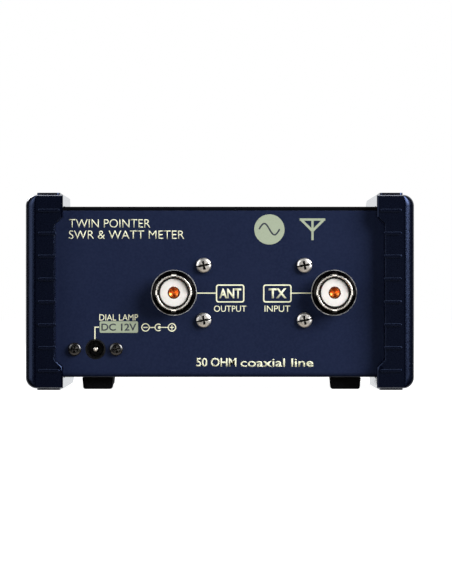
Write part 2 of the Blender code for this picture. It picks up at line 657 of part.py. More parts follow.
def dc_jack():
    """The lamp's power jack: a barrel just behind the panel's face, with its centre pin and two screws."""
    at = (JACK_X, 0, JACK_Z)
    half = JACK_SCREW_SPACING + 3.2
    flange = rounded(JACK_X - half, JACK_X + half, JACK_Z - 3.6, JACK_Z + 3.6, 3.0, 3)
    made = to_object("dc_jack_body", prism(flange, SHEET + GAP, SHEET + GAP + 2), "black_plastic", at)
    body = rounded(JACK_X - 5, JACK_X + 5, JACK_Z - 4.5, JACK_Z + 4.5, 0.8, 1)
    join(made, prism(body, SHEET + GAP + 1, 14), hole(JACK_X, JACK_Z, JACK_BARREL_RADIUS, 0.1, 4, 20))
    cut(made, hole(JACK_X, JACK_Z, JACK_BORE_RADIUS, -1, 11, 16), hole(JACK_X, JACK_Z, 1.3, 10, 15, 12))
    for side in (-1, 1):
        cut(made, hole(JACK_X + side * JACK_SCREW_SPACING, JACK_Z, JACK_SCREW_HOLE, 1, 5, 12))
    smooth(made)
    pin = [(6.0, 0), (6.0, 0.45), (1.2, 0.45), (1.2, 0.8), (1.5, 1.0), (16.0, 1.0), (16.0, 0)]
    smooth(to_object("dc_jack_pin", turned(pin, at, 12), "nickel", at))
    for name, side in (("left", -1), ("right", 1)):
        pan_screw(f"dc_jack_screw_{name}", (JACK_X + side * JACK_SCREW_SPACING, -GAP, JACK_Z), 2.6, 1.6, 1.25,
                  5.0, "black_screw")


def lead(name, points, radius):
    """An insulated lead: a tube on a smooth curve through the points of its route."""
    route = [world(*point) for point in points]
    ends = [route[0] * 2 - route[1]] + route + [route[-1] * 2 - route[-2]]
    fine = []
    steps = 3
    for before, start, end, after in zip(ends, ends[1:], ends[2:], ends[3:]):
        for i in range(steps):
            t = i / steps
            bend = start * 2 + (end - before) * t + (before * 2 - start * 5 + end * 4 - after) * t ** 2
            fine.append((bend + (start * 3 - before - end * 3 + after) * t ** 3) / 2)
    fine.append(route[-1])
    curve = bpy.data.curves.new(name, "CURVE")
    curve.dimensions = "3D"
    curve.bevel_depth = radius * MM
    curve.bevel_resolution = 2
    curve.use_fill_caps = True
    spline = curve.splines.new("POLY")
    spline.points.add(len(fine) - 1)
    for point, place in zip(spline.points, fine):
        point.co = (*place, 1.0)
    made = bpy.data.objects.new(name, curve)
    bpy.context.collection.objects.link(made)
    curve.materials.append(material("lead_sleeve", *MATERIALS["lead_sleeve"]))


# ---- meter ----------------------------------------------------------------------------------------

def meter_case():
    """The housing behind the window, the window, the dial, the lamp with its holder, and the main board."""
    left, right = WINDOW_X - HOUSING_HALF_WIDTH, WINDOW_X + HOUSING_HALF_WIDTH
    outer = rounded(left, right, HOUSING_LOW, HOUSING_HIGH, 2.5, 2)
    wall = HOUSING_WALL
    inner = rounded(left + wall, right - wall, HOUSING_LOW + wall, HOUSING_HIGH - wall, 1.0, 2)
    made = to_object("meter_housing", prism(outer, HOUSING_START, HOUSING_END), "housing_white")
    cut(made, prism(inner, HOUSING_START + wall, HOUSING_END + 1))
    posts = [(left + 5, HOUSING_HIGH - 6), (right - 5, HOUSING_HIGH - 6), (WINDOW_X, 32.0)]
    for x, z in posts:
        join(made, hole(x, z, 1.6, HOUSING_START + 1, DIAL_DEPTH - GAP, 10))
    for x in (left + 6, right - 6):
        for z in (16.0, BOARD_HIGH - 4):
            join(made, hole(x, z, 2.5, BOARD_START + BOARD_THICKNESS + GAP, HOUSING_START + 1, 12))
    smooth(cut(made, hole(WINDOW_X, LAMP_Z, 3.0, HOUSING_START - 1, HOUSING_START + 3, 16)))
    board = box((left + 2, BOARD_START, 12.0), (right - 2, BOARD_START + BOARD_THICKNESS, BOARD_HIGH))
    to_object("main_board", board, "circuit_board")
    dial = rounded(left + wall + 0.6, right - wall - 0.6, 20.2, HOUSING_HIGH - wall - 0.6, 1.0, 1)
    to_object("dial_plate", prism(dial, DIAL_DEPTH, DIAL_DEPTH + DIAL_THICKNESS), "dial_card")
    half = WINDOW_WIDTH / 2
    edge = 2.1
    flange = rounded(WINDOW_X - half - edge, WINDOW_X + half + edge,
                     WINDOW_LOW - edge, WINDOW_HIGH + edge, 3.5)
    wall_back = BEZEL_FACE - BEZEL_WALL - GAP
    made = to_object("meter_window", prism(flange, wall_back - 1.4, wall_back), "clear_window")
    half -= GAP
    pane = rounded(WINDOW_X - half, WINDOW_X + half, WINDOW_LOW + GAP, WINDOW_HIGH - GAP, WINDOW_CORNER - GAP)
    join(made, prism(pane, wall_back - 0.4, BEZEL_FACE - 0.5))
    at = (WINDOW_X, 0, LAMP_Z)
    holder_end = 56.5
    holder = [(49.5, 0), (49.5, 3.6), (HOUSING_START - GAP, 3.6), (HOUSING_START - GAP, 2.7),
              (holder_end, 2.7), (holder_end, 0)]
    smooth(to_object("lamp_holder", turned(holder, at, 16), "black_plastic", at))
    bulb = 2.3
    glass = [(holder_end + GAP, 0), (holder_end + GAP, bulb)]
    glass += [(64.0 + v, u) for u, v in arc(0, 0, bulb, 0, 80, 4)] + [(64.0 + bulb, 0)]
    smooth(to_object("lamp", turned(glass, at, 16), "lamp_glass", at))


def yoke(label, x):
    """The iron ring with its core, which a thin web holds in the middle."""
    at = (x, 0, PIVOT_Z)
    ring = [(YOKE_START, YOKE_BORE), (YOKE_START, YOKE_RADIUS),
            (YOKE_END, YOKE_RADIUS), (YOKE_END, YOKE_BORE)]
    made = to_object(f"{label}_yoke", turned(ring, at, 20, ring=True), "soft_iron", at)
    tall = YOKE_BORE + 0.6
    web = box((x - 1, YOKE_START + 0.5, PIVOT_Z - tall), (x + 1, YOKE_END - 0.5, PIVOT_Z + tall))
    join(made, hole(x, PIVOT_Z, CORE_RADIUS, YOKE_START, YOKE_END, 14), web)
    return smooth(made)


def bridge(label, x):
    """A C-shaped bracket over the yoke, whose two arms hold the pivots in running holes."""
    back, front = YOKE_START - BRIDGE_REACH, YOKE_END + BRIDGE_REACH
    low = PIVOT_Z - 1.6
    high = PIVOT_Z + YOKE_RADIUS + GAP + 1.2
    sheet = 0.8
    outline = [(back, low), (back, high), (front, high), (front, low), (front - sheet, low),
               (front - sheet, high - sheet), (back + sheet, high - sheet), (back + sheet, low)]
    strip = prism(outline, x - 1.6, x + 1.6, "x")
    made = to_object(f"{label}_bridge", strip, "brass", (x, 0, PIVOT_Z))
    return cut(made, hole(x, PIVOT_Z, STAFF_HOLE, back - 1, front + 1, 16))


def coil(label, x, way):
    """The coil's frame around the core, with a pivot at each end. Its travel is even about the level."""
    at = (x, 0, PIVOT_Z)
    wide, narrow, half = 4.75, 3.65, 0.8
    back, front = YOKE_START - 1.9, YOKE_END + 1.9
    frame = box((x - wide, back, PIVOT_Z - half), (x + wide, front, PIVOT_Z + half))
    turn = way * NEEDLE_SWEEP / 2
    made = to_object(f"{label}_coil", spin(frame, at, turn, "Y"), "copper", at)
    middle = box((x - narrow, back + 1, PIVOT_Z - 2), (x + narrow, front - 1, PIVOT_Z + 2))
    cut(made, spin(middle, at, turn, "Y"))
    staff_end = NEEDLE_PLANES[label] + NEEDLE_THICKNESS + 0.4
    join(made, hole(x, PIVOT_Z, STAFF_RADIUS, front - 0.5, staff_end, 12),
         hole(x, PIVOT_Z, STAFF_RADIUS, YOKE_START - BRIDGE_REACH - 0.4, back + 0.5, 12))
    return smooth(made)


def needle(label, x, way):
    """A tapered pointer with its hub on the coil's staff and a counterweight on its short tail."""
    at = (x, 0, PIVOT_Z)
    low = NEEDLE_PLANES[label]
    high = low + NEEDLE_THICKNESS
    tail = 5.0
    points = [(-tail, -0.5), (0, -0.6), (NEEDLE_LENGTH, -0.12), (NEEDLE_LENGTH, 0.12), (0, 0.6), (-tail, 0.5)]
    blade = prism([(x + way * u, PIVOT_Z + v) for u, v in points], low, high)
    turn = -way * NEEDLE_REST
    made = to_object(f"{label}_needle", spin(blade, at, turn, "Y"), "needle_black", at)
    weight = hole(x - way * tail, PIVOT_Z, 1.3, low - 0.2, high + 0.2, 12)
    join(made, hole(x, PIVOT_Z, 1.5, low - 0.3, high + 0.2, 16), spin(weight, at, turn, "Y"))
    return cut(made, hole(x, PIVOT_Z, STAFF_HOLE, low - 1, high + 1, 12))


def hairspring(label, x, way):
    """A flat spiral around the front pivot, three turns out from its collet."""
    turns, steps = 3, 10
    inner, pitch, thin = 0.75, 0.8, 0.08
    low = YOKE_END + 2.15
    high = low + 0.5
    rows = []
    for i in range(turns * steps + 1):
        angle = way * tau * i / steps
        radius = inner + pitch * i / steps
        corners = ((low, radius - thin), (high, radius - thin), (high, radius + thin), (low, radius + thin))
        rows.append([around((x, 0, PIVOT_Z), "y", along, r, angle) for along, r in corners])
    return smooth(to_object(f"{label}_hairspring", loft(rows), "brass", (x, 0, PIVOT_Z)))


def zero_adjuster(label, x):
    """A slotted adjuster that turns in the bezel, in line with its needle's pivot."""
    at = (x, 0, PIVOT_Z)
    wall = BEZEL_FACE - BEZEL_WALL
    head = BEZEL_FACE + 1.4
    profile = [(head, 0), (head, 1.9), (head - 0.5, 2.5), (BEZEL_FACE + GAP, 2.5), (BEZEL_FACE + GAP, 1.52),
               (wall - GAP, 1.52), (wall - GAP, 2.1), (wall - 2, 2.1), (wall - 2, 1.2), (wall - 4, 1.2),
               (wall - 4, 0)]
    made = to_object(f"{label}_zero_adjuster", turned(profile, at, 16), "black_plastic", at)
    slot = box((x - 4, BEZEL_FACE + 0.7, PIVOT_Z - 0.35), (x + 4, BEZEL_FACE + 3, PIVOT_Z + 0.35))
    return smooth(cut(made, slot))


def meter():
    meter_case()
    for label, way in (("forward", 1), ("reflected", -1)):
        x = WINDOW_X - way * PIVOT_SPREAD
        yoke(label, x)
        bridge(label, x)
        coil(label, x, way)
        needle(label, x, way)
        hairspring(label, x, way)
        zero_adjuster(label, x)


# ---- controls -------------------------------------------------------------------------------------

def range_control():
    """The range knob on its shaft, the rotary switch behind the panel, and the nut that holds it."""
    at = (CONTROL_X, 0, KNOB_Z)
    half = SWITCH_HALF
    body = rounded(CONTROL_X - half, CONTROL_X + half, KNOB_Z - half, KNOB_Z + half, 4.0, 2)
    made = to_object("range_switch", prism(body, SWITCH_START, SWITCH_END), "black_plastic", at)
    bushing_end = BEZEL_FACE - BEZEL_WALL - 0.4
    join(made, hole(CONTROL_X, KNOB_Z, 4.5, SWITCH_END - 1, bushing_end, 24))
    smooth(cut(made, hole(CONTROL_X, KNOB_Z, SHAFT_BORE, SWITCH_START + 1.5, bushing_end + 1, 32)))
    seat = FRONT_PANEL + GAP
    nut = prism(circle(CONTROL_X, KNOB_Z, 7.0, 6), seat, seat + 2.4)
    made = to_object("range_switch_nut", nut, "nickel", at)
    smooth(cut(made, hole(CONTROL_X, KNOB_Z, 4.8, seat - 1, seat + 4, 24)))
    start = SWITCH_START + 2
    end = KNOB_FACE - 3
    tip = SHAFT_RADIUS - 0.5
    shaft = [(start, 0), (start, SHAFT_RADIUS), (end - 0.5, SHAFT_RADIUS), (end, tip), (end, 0)]
    made = to_object("range_shaft", turned(shaft, at, 32), "zinc_steel", at)
    smooth(cut(made, box((CONTROL_X - 4, end - 7, KNOB_Z + 2.4), (CONTROL_X + 4, end + 1, KNOB_Z + 4))))
    knob(at)


def knob(at):
    """A fluted push-on knob with a pointer groove, bored for the shaft."""
    back = BEZEL_FACE + 0.5
    flutes = 20
    outline = []
    for i in range(flutes * 2):
        radius = KNOB_RADIUS - (0.5 if i % 2 else 0)
        angle = tau * i / flutes / 2
        outline.append((CONTROL_X + radius * cos(angle), KNOB_Z + radius * sin(angle)))
    made = to_object("range_knob", prism(outline, back, KNOB_FACE - 1.0), "black_plastic", at)
    cap = [(KNOB_FACE - 2, 0), (KNOB_FACE - 2, KNOB_RADIUS - 1.2), (KNOB_FACE - 0.6, KNOB_RADIUS - 1.2),
           (KNOB_FACE, KNOB_RADIUS - 2), (KNOB_FACE, 0)]
    join(made, turned(cap, at, 20))
    cut(made, hole(CONTROL_X, KNOB_Z, SHAFT_RADIUS + GAP, back - 1, KNOB_FACE - 2.6, 24))
    pointer = box((CONTROL_X - 0.6, KNOB_FACE - 0.6, KNOB_Z + 2.5),
                  (CONTROL_X + 0.6, KNOB_FACE + 1, KNOB_Z + 12))
    smooth(cut(made, pointer), 30)


def mode_control():
    """The averaging or peak button, whose stem pushes into its switch."""
    at = (CONTROL_X, BUTTON_FACE, BUTTON_Z)
    half = BUTTON_SIZE / 2
    cap = rounded(CONTROL_X - half, CONTROL_X + half, BUTTON_Z - half, BUTTON_Z + half, 0.8, 2)
    made = to_object("mode_button", prism(cap, 88.0, BUTTON_FACE), "black_plastic", at)
    stem = 1.8
    join(made, box((CONTROL_X - stem, 70.0, BUTTON_Z - stem), (CONTROL_X + stem, 89.0, BUTTON_Z + stem)))
    bore = stem + GAP
    body = box((CONTROL_X - half, 58.0, BUTTON_Z - half), (CONTROL_X + half, 76.0, BUTTON_Z + half))
    made = to_object("mode_switch", body, "black_plastic")
    cut(made, box((CONTROL_X - bore, 66.0, BUTTON_Z - bore), (CONTROL_X + bore, 77.0, BUTTON_Z + bore)))


def main():
    for old in list(bpy.data.objects):
        bpy.data.objects.remove(old)
    case()
    coupler()
    dc_jack()
    meter()
    range_control()
    mode_control()
    hole_x, hole_z = LEAD_HOLE
    lead("coupler_lead", [(hole_x, 22, hole_z - 1), (hole_x, 27, hole_z), (hole_x, 33, hole_z),
                          (hole_x, BOARD_START - 0.5, hole_z)], 0.9)
    lead("lamp_lead", [(JACK_X, 17.2, JACK_Z), (JACK_X, 26, 18), (-46, 34, 30), (-38, 36, 48), (-15, 37, 60),
                       (5, 42, 61), (WINDOW_X, 49.0, LAMP_Z)], 0.9)


main()
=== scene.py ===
"""Looks for the crossed-needle SWR meter: fine shapes, surfaces, printing, lights and the camera.

Lengths are millimetres and turn into metres in world(). X runs to the right as seen from the back panel,
Y from the back panel towards the meter window, Z up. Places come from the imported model's boxes.
"""

import json
from math import cos, hypot, pi, radians, sin, sqrt, tan, tau

import bmesh
import bpy
from mathutils import Matrix, Vector

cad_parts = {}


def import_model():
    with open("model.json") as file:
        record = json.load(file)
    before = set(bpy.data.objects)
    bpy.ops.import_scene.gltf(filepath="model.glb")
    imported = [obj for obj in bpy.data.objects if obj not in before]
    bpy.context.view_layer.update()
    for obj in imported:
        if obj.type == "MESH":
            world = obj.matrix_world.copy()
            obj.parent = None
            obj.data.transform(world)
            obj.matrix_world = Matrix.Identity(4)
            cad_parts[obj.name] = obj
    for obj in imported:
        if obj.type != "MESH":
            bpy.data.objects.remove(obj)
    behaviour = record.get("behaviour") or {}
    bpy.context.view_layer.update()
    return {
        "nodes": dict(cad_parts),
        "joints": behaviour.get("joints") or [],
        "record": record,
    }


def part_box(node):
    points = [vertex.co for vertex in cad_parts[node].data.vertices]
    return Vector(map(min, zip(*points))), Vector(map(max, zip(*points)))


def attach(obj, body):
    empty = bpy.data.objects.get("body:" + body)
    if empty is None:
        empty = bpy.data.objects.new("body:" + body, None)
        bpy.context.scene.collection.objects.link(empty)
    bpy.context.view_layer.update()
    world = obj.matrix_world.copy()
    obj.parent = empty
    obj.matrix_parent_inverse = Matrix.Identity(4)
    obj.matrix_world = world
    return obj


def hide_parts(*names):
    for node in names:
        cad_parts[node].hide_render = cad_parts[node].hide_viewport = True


MM = 0.001
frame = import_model()


def world(x, y, z):
    return Vector((x, y, z)) * MM


def low(node):
    """A node's lowest corner, in millimetres."""
    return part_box(node)[0] / MM


def high(node):
    """A node's highest corner, in millimetres."""
    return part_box(node)[1] / MM


def middle(node):
    return (low(node) + high(node)) / 2


PANEL = low("chassis").y  # the back panel's outer face
FACE = high("front_bezel").y  # the front's raised face
MID_HEIGHT = 38.1
CASE_BOTTOM = low("chassis").z
CASE_TOP = high("top_cover").z
CASE_HALF = high("top_cover").x
CASE_FRONT = FACE - 4.5  # the face of the bezel's flange
HOOK_EDGE = 60.9  # how far each bumper hook stops from the middle
SHEET = 1.2
GAP = 0.3  # between parts that fit into each other
PAST = 1.0  # how far a cutter runs past the face that it opens


# ---- camera, world and lights -----------------------------------------------------------------------

CAMERA_DISTANCE = 1300.0  # from the back panel
VIEW_HEIGHT = 227.68  # what the image takes in at the back panel, from bottom to top
SIDE_SHIFT = 0.01045  # of the image's height: the object stands a little left of its middle
SENSOR = 36.0


def camera():
    data = bpy.data.cameras.new("camera")
    data.sensor_width = SENSOR
    data.lens = CAMERA_DISTANCE * SENSOR / VIEW_HEIGHT
    data.shift_x = SIDE_SHIFT
    made = bpy.data.objects.new("camera", data)
    made.location = world(0, PANEL - CAMERA_DISTANCE, MID_HEIGHT)
    made.rotation_euler = (pi / 2, 0, 0)
    bpy.context.scene.collection.objects.link(made)
    bpy.context.scene.camera = made


def area_light(name, place, aim, width, height, power, color=(1, 1, 1), shine=True, diffuse=True):
    """A soft box, in metres and watts. Without `shine` it isn't mirrored in glossy surfaces, and without
    `diffuse` it only shows there."""
    data = bpy.data.lights.new(name, "AREA")
    data.shape = "RECTANGLE"
    data.size = width
    data.size_y = height
    data.energy = power
    data.color = color
    made = bpy.data.objects.new(name, data)
    made.location = place
    made.rotation_euler = (Vector(aim) - Vector(place)).to_track_quat("-Z", "Y").to_euler()
    made.visible_glossy = shine
    made.visible_diffuse = diffuse
    bpy.context.scene.collection.objects.link(made)


def add_node(tree, kind, inputs=(), **settings):
    """A shader node, its inputs linked to sockets or set to values."""
    made = tree.nodes.new(kind)
    for key, value in settings.items():
        setattr(made, key, value)
    for key, value in dict(inputs).items():
        if isinstance(value, bpy.types.NodeSocket):
            tree.links.new(value, made.inputs[key])
        else:
            made.inputs[key].default_value = value
    return made


def surroundings():
    """A world that is plain white to the camera, and to everything else dim except beyond the front."""
    made = bpy.data.worlds.new("studio")
    made.use_nodes = True
    tree = made.node_tree
    plain = tree.nodes["Background"]
    plain.inputs["Color"].default_value = (1, 1, 1, 1)
    direction = add_node(tree, "ShaderNodeTexCoord").outputs["Generated"]
    forward = add_node(tree, "ShaderNodeSeparateXYZ", {"Vector": direction}).outputs["Y"]
    strength = add_node(tree, "ShaderNodeMapRange", {"Value": forward, "From Min": 0.5, "From Max": 0.95,
                                                     "To Min": 0.014, "To Max": 0.95})
    dim = add_node(tree, "ShaderNodeBackground", {"Color": (0.96, 0.98, 1.0, 1),
                                                  "Strength": strength.outputs["Result"]})
    seen = add_node(tree, "ShaderNodeLightPath").outputs["Is Camera Ray"]
    mixed = add_node(tree, "ShaderNodeMixShader", {0: seen, 1: dim.outputs[0], 2: plain.outputs[0]})
    tree.links.new(mixed.outputs[0], tree.nodes["World Output"].inputs["Surface"])
    bpy.context.scene.world = made


def floor():
    """A floor that shows pure white and gives the object neither light nor a reflection."""
    build = bmesh.new()
    bmesh.ops.create_grid(build, x_segments=1, y_segments=1, size=3.0)
    made = to_object("floor", build, "floor_white")
    made.visible_glossy = False
    made.visible_diffuse = False
    made.visible_shadow = False


def studio():
    """The surroundings, and the soft boxes: six for the back and its sides, two for the top and front."""
    bpy.context.scene.view_settings.view_transform = "Standard"
    surroundings()
    floor()
    aim = (0, 0, 0.04)
    area_light("key", (0.85, -0.75, 0.52), aim, 0.7, 0.7, 24.5, (0.97, 0.98, 1.0))
    area_light("fill", (-0.75, -0.75, 0.5), aim, 0.7, 0.7, 4, (0.95, 0.97, 1.0))
    area_light("table_glow", (-0.1, -0.75, -0.5), aim, 1.5, 0.5, 1.6, (1.0, 0.90, 0.80))
    area_light("left_glint", (-0.95, -0.45, 0.2), aim, 0.7, 0.7, 2.0, diffuse=False)
    area_light("front_box", (0.035, -1.9, 0.04), aim, 0.4, 0.34, 1.0, (1.0, 0.98, 0.95))
    area_light("wash", (0.15, -1.6, 0.15), (0, 0, 0.03), 0.6, 0.6, 0.8, (1.0, 0.99, 0.97), shine=False)
    area_light("top", (0.0, 0.45, 0.85), (0, 0, 0.05), 0.7, 0.5, 6)
    area_light("front_key", (-0.45, 0.75, 0.5), aim, 0.4, 0.4, 5, (1.0, 0.98, 0.95))


# ---- materials --------------------------------------------------------------------------------------

class Surface:
    """A material in the making: a Principled shader, and short calls that add nodes to it."""

    def __init__(self, name, color, roughness, metallic=0.0, **sockets):
        self.material = bpy.data.materials.new(name)
        self.material.use_nodes = True
        self.tree = self.material.node_tree
        self.shader = self.tree.nodes["Principled BSDF"]
        self.color = (*color, 1.0)
        self.shader.inputs["Base Color"].default_value = self.color
        self.shader.inputs["Roughness"].default_value = roughness
        self.shader.inputs["Metallic"].default_value = metallic
        for socket, value in sockets.items():
            self.shader.inputs[socket.replace("_", " ")].default_value = value
        self.roughness = roughness
        self.place = self.tree.nodes.new("ShaderNodeTexCoord").outputs["Object"]
        self.last_normal = None

    def node(self, kind, inputs=(), **settings):
        return add_node(self.tree, kind, inputs, **settings)

    def noise(self, size, detail=3.0, stretch=(1, 1, 1)):
        """Noise whose features are about `size` millimetres across, longer where `stretch` is over 1."""
        scale = [1 / (size * MM * part) for part in stretch]
        mapped = self.node("ShaderNodeMapping", {"Vector": self.place, "Scale": scale})
        made = self.node("ShaderNodeTexNoise", {"Vector": mapped.outputs[0], "Scale": 1.0, "Detail": detail})
        return made.outputs["Fac"]

    def cells(self, size, feature="F1"):
        inputs = {"Vector": self.place, "Scale": 1 / (size * MM)}
        return self.node("ShaderNodeTexVoronoi", inputs, feature=feature).outputs["Distance"]

    def remap(self, value, from_low, from_high, to_low, to_high):
        made = self.node("ShaderNodeMapRange", {"Value": value, "From Min": from_low, "From Max": from_high,
                                                "To Min": to_low, "To Max": to_high})
        return made.outputs["Result"]

    def multiply(self, first, second):
        return self.node("ShaderNodeMath", {0: first, 1: second}, operation="MULTIPLY").outputs[0]

    def tint(self, mask, color):
        """Blend another colour over the present one where the mask is."""
        base = self.shader.inputs["Base Color"]
        present = base.links[0].from_socket if base.links else self.color
        inputs = {"Factor": mask, "A": present, "B": (*color, 1.0)}
        made = self.node("ShaderNodeMix", inputs, data_type="RGBA")
        self.tree.links.new(made.outputs["Result"], base)
        return self

    def blotches(self, size, span, amount, color, detail=3):
        """Patches of another colour, faded in over a span of the noise."""
        return self.tint(self.remap(self.noise(size, detail), *span, 0.0, amount), color)

    def uneven(self, size, spread, detail=3):
        """Roughness that wanders by `spread` either way."""
        dull, shiny = self.roughness + spread, max(self.roughness - spread, 0.02)
        result = self.remap(self.noise(size, detail), 0.3, 0.7, shiny, dull)
        self.tree.links.new(result, self.shader.inputs["Roughness"])
        return self

    def grain(self, size, height, detail=3, stretch=(1, 1, 1)):
        """Fine relief, `height` millimetres deep; each call adds to the last."""
        inputs = {"Height": self.noise(size, detail, stretch), "Distance": height * MM}
        if self.last_normal:
            inputs["Normal"] = self.last_normal
        self.last_normal = self.node("ShaderNodeBump", inputs).outputs["Normal"]
        self.tree.links.new(self.last_normal, self.shader.inputs["Normal"])
        return self

    def marked(self, name):
        """A mask that is 1 on the faces that mark_faces marked with this name."""
        return self.node("ShaderNodeAttribute", attribute_name=name).outputs["Fac"]

    def blend(self, mask, first, second, socket):
        """Feed a socket of the shader from one value to another as the mask goes from 0 to 1."""
        made = self.node("ShaderNodeMix", {"Factor": mask, "A": first, "B": second})
        self.tree.links.new(made.outputs["Result"], self.shader.inputs[socket])
        return self

    def tarnished(self, color):
        """Paint another colour on the marked faces: painted shade on some materials, a painted highlight on
        others.
        """
        return self.tint(self.marked("painted_light"), color)

    def dulled(self, roughness):
        """Another roughness on the faces marked `dull`."""
        present = self.shader.inputs["Roughness"].links[0].from_socket
        return self.blend(self.marked("dull"), present, roughness, "Roughness")

    def matted(self, level, matt_level):
        """A specular level, and another one on the faces marked `matt`."""
        return self.blend(self.marked("matt"), level, matt_level, "Specular IOR Level")

    def polished_inside(self, rough, edge, smooth_roughness):
        """Roughness from `rough`, but glossy up to `edge` millimetres from x = 0."""
        parts = self.node("ShaderNodeSeparateXYZ", {"Vector": self.place})
        side = self.node("ShaderNodeMath", {0: parts.outputs["X"]}, operation="ABSOLUTE").outputs[0]
        outside = self.remap(side, edge * MM, (edge + 0.3) * MM, 0.0, 1.0)
        return self.blend(outside, smooth_roughness, rough, "Roughness")

    def edges(self, radius):
        """A mask that is 1 along edges, `radius` millimetres wide."""
        rounded_normal = self.node("ShaderNodeBevel", {"Radius": radius * MM}, samples=4).outputs["Normal"]
        flat_normal = self.node("ShaderNodeNewGeometry").outputs["Normal"]
        dot = self.node("ShaderNodeVectorMath", {0: rounded_normal, 1: flat_normal}, operation="DOT_PRODUCT")
        return self.remap(dot.outputs["Value"], 0.995, 0.85, 0.0, 1.0)

    def worn(self, color, radius, amount):
        """Lighter rubbed edges, broken up by noise."""
        patches = self.remap(self.noise(2.5, 4), 0.42, 0.62, 0.15, 1.0)
        return self.tint(self.multiply(self.multiply(self.edges(radius), patches), amount), color)


def floor_white():
    made = Surface("floor_white", (0.25, 0.25, 0.25), 0.9, Specular_IOR_Level=0.0,
                   Emission_Color=(1, 1, 1, 1), Emission_Strength=1.0)
    return made.material


def navy_paint():
    made = Surface("navy_paint", (0.0064, 0.0098, 0.0290), 0.45, Specular_IOR_Level=0.25,
                   Specular_Tint=(0.36, 0.50, 1.0, 1.0))
    made.blotches(14, (0.35, 0.65), 0.5, (0.0086, 0.0128, 0.0345), detail=5)
    made.blotches(0.9, (0.35, 0.65), 0.6, (0.0110, 0.0160, 0.0400), detail=1)
    made.uneven(1.6, 0.02, detail=4)
    made.grain(0.35, 0.006, detail=2).grain(2.6, 0.004, detail=2)
    return made.worn((0.07, 0.08, 0.10), 0.25, 0.5).material


def cover_black():
    made = Surface("cover_black", (0.0016, 0.0018, 0.0030), 0.6, Specular_IOR_Level=0.04)
    made.blotches(12, (0.35, 0.65), 0.5, (0.0024, 0.0027, 0.0042), detail=4)
    made.uneven(1.8, 0.03, detail=4)
    made.grain(0.4, 0.008, detail=2)
    return made.worn((0.02, 0.02, 0.025), 0.25, 0.3).material


def bumper_plastic():
    made = Surface("bumper_plastic", (0.0005, 0.0008, 0.0034), 0.24, Specular_Tint=(0.36, 0.50, 1.0, 1.0))
    made.matted(0.6, 0.14)
    made.blotches(9, (0.4, 0.65), 0.6, (0.0008, 0.0012, 0.0044), detail=5)
    made.polished_inside(made.remap(made.noise(0.9, 4), 0.3, 0.7, 0.23, 0.30), HOOK_EDGE + 0.7, 0.06)
    made.grain(0.5, 0.004)
    # painted highlight: the ribs' upward-facing faces are lighter, as if lit from above
    made.tarnished((0.013, 0.018, 0.036))
    return made.worn((0.018, 0.023, 0.038), 0.2, 0.35).material


def black_plastic():
    made = Surface("black_plastic", (0.0075, 0.0078, 0.0090), 0.45, Specular_IOR_Level=0.25)
    made.blotches(6, (0.4, 0.7), 0.6, (0.012, 0.012, 0.014), detail=4)
    made.uneven(1.2, 0.07)
    made.grain(0.3, 0.012, detail=2)
    made.worn((0.05, 0.05, 0.055), 0.2, 0.4)
    # painted shade: darker on the power jack's barrel face and in its bore
    return made.tarnished((0.0006, 0.0006, 0.0008)).material


def foot_rubber():
    made = Surface("foot_rubber", (0.0008, 0.0011, 0.0026), 0.72, Specular_IOR_Level=0.15)
    made.blotches(3, (0.45, 0.7), 0.6, (0.0018, 0.0021, 0.0034), detail=4)
    made.uneven(0.7, 0.1)
    return made.grain(0.25, 0.02).material


def nickel():
    made = Surface("nickel", (0.86, 0.83, 0.78), 0.21, 1.0)
    made.blotches(2.4, (0.4, 0.7), 0.5, (0.74, 0.69, 0.61), detail=4)
    # painted shade: near black in the sockets' bores, thread bands and notches, and in the screws' cross
    # recesses
    made.tarnished((0.016, 0.015, 0.014))
    made.uneven(0.8, 0.03)
    made.dulled(0.36)
    return made.grain(0.3, 0.001, stretch=(1, 1, 6)).material


def black_screw():
    made = Surface("black_screw", (0.085, 0.083, 0.082), 0.24, 0.95)
    # painted shade: near black in the cross recesses
    made.tarnished((0.004, 0.004, 0.004))
    made.uneven(0.5, 0.08, detail=4)
    made.grain(0.25, 0.004)
    return made.worn((0.16, 0.15, 0.14), 0.15, 0.7).material


def zinc_steel():
    made = Surface("zinc_steel", (0.56, 0.57, 0.58), 0.34, 1.0)
    made.tint(made.remap(made.cells(3.0), 0.2, 0.9, 0.0, 0.5), (0.45, 0.46, 0.50))
    made.uneven(1.5, 0.1, detail=4)
    return made.grain(0.4, 0.003).material


def insulator_white():
    made = Surface("insulator_white", (0.76, 0.73, 0.69), 0.4, Subsurface_Weight=0.06,
                   Subsurface_Scale=0.8 * MM)
    made.blotches(2.2, (0.45, 0.7), 0.5, (0.70, 0.66, 0.60), detail=4)
    made.uneven(0.6, 0.06)
    return made.grain(0.25, 0.004, detail=2).material


def copper():
    made = Surface("copper", (0.93, 0.40, 0.11), 0.24, 1.0)
    made.blotches(0.8, (0.45, 0.65), 0.8, (0.62, 0.17, 0.04))
    made.uneven(0.3, 0.08)
    return made.grain(0.2, 0.003, detail=2).material


def contact_gilt():
    """The sockets' centre contacts: copper-gold, in patches."""
    made = Surface("contact_gilt", (0.82, 0.22, 0.042), 0.28, 1.0)
    made.blotches(0.9, (0.45, 0.65), 0.7, (0.75, 0.22, 0.05))
    made.uneven(0.3, 0.08)
    return made.grain(0.2, 0.003, detail=2).material


def brass():
    made = Surface("brass", (0.78, 0.57, 0.25), 0.3, 1.0)
    made.blotches(1.5, (0.45, 0.7), 0.6, (0.6, 0.40, 0.16), detail=4)
    return made.uneven(0.5, 0.1).material


def ferrite():
    made = Surface("ferrite", (0.030, 0.030, 0.033), 0.7)
    made.blotches(0.6, (0.4, 0.7), 0.7, (0.055, 0.055, 0.06))
    return made.grain(0.3, 0.02).material


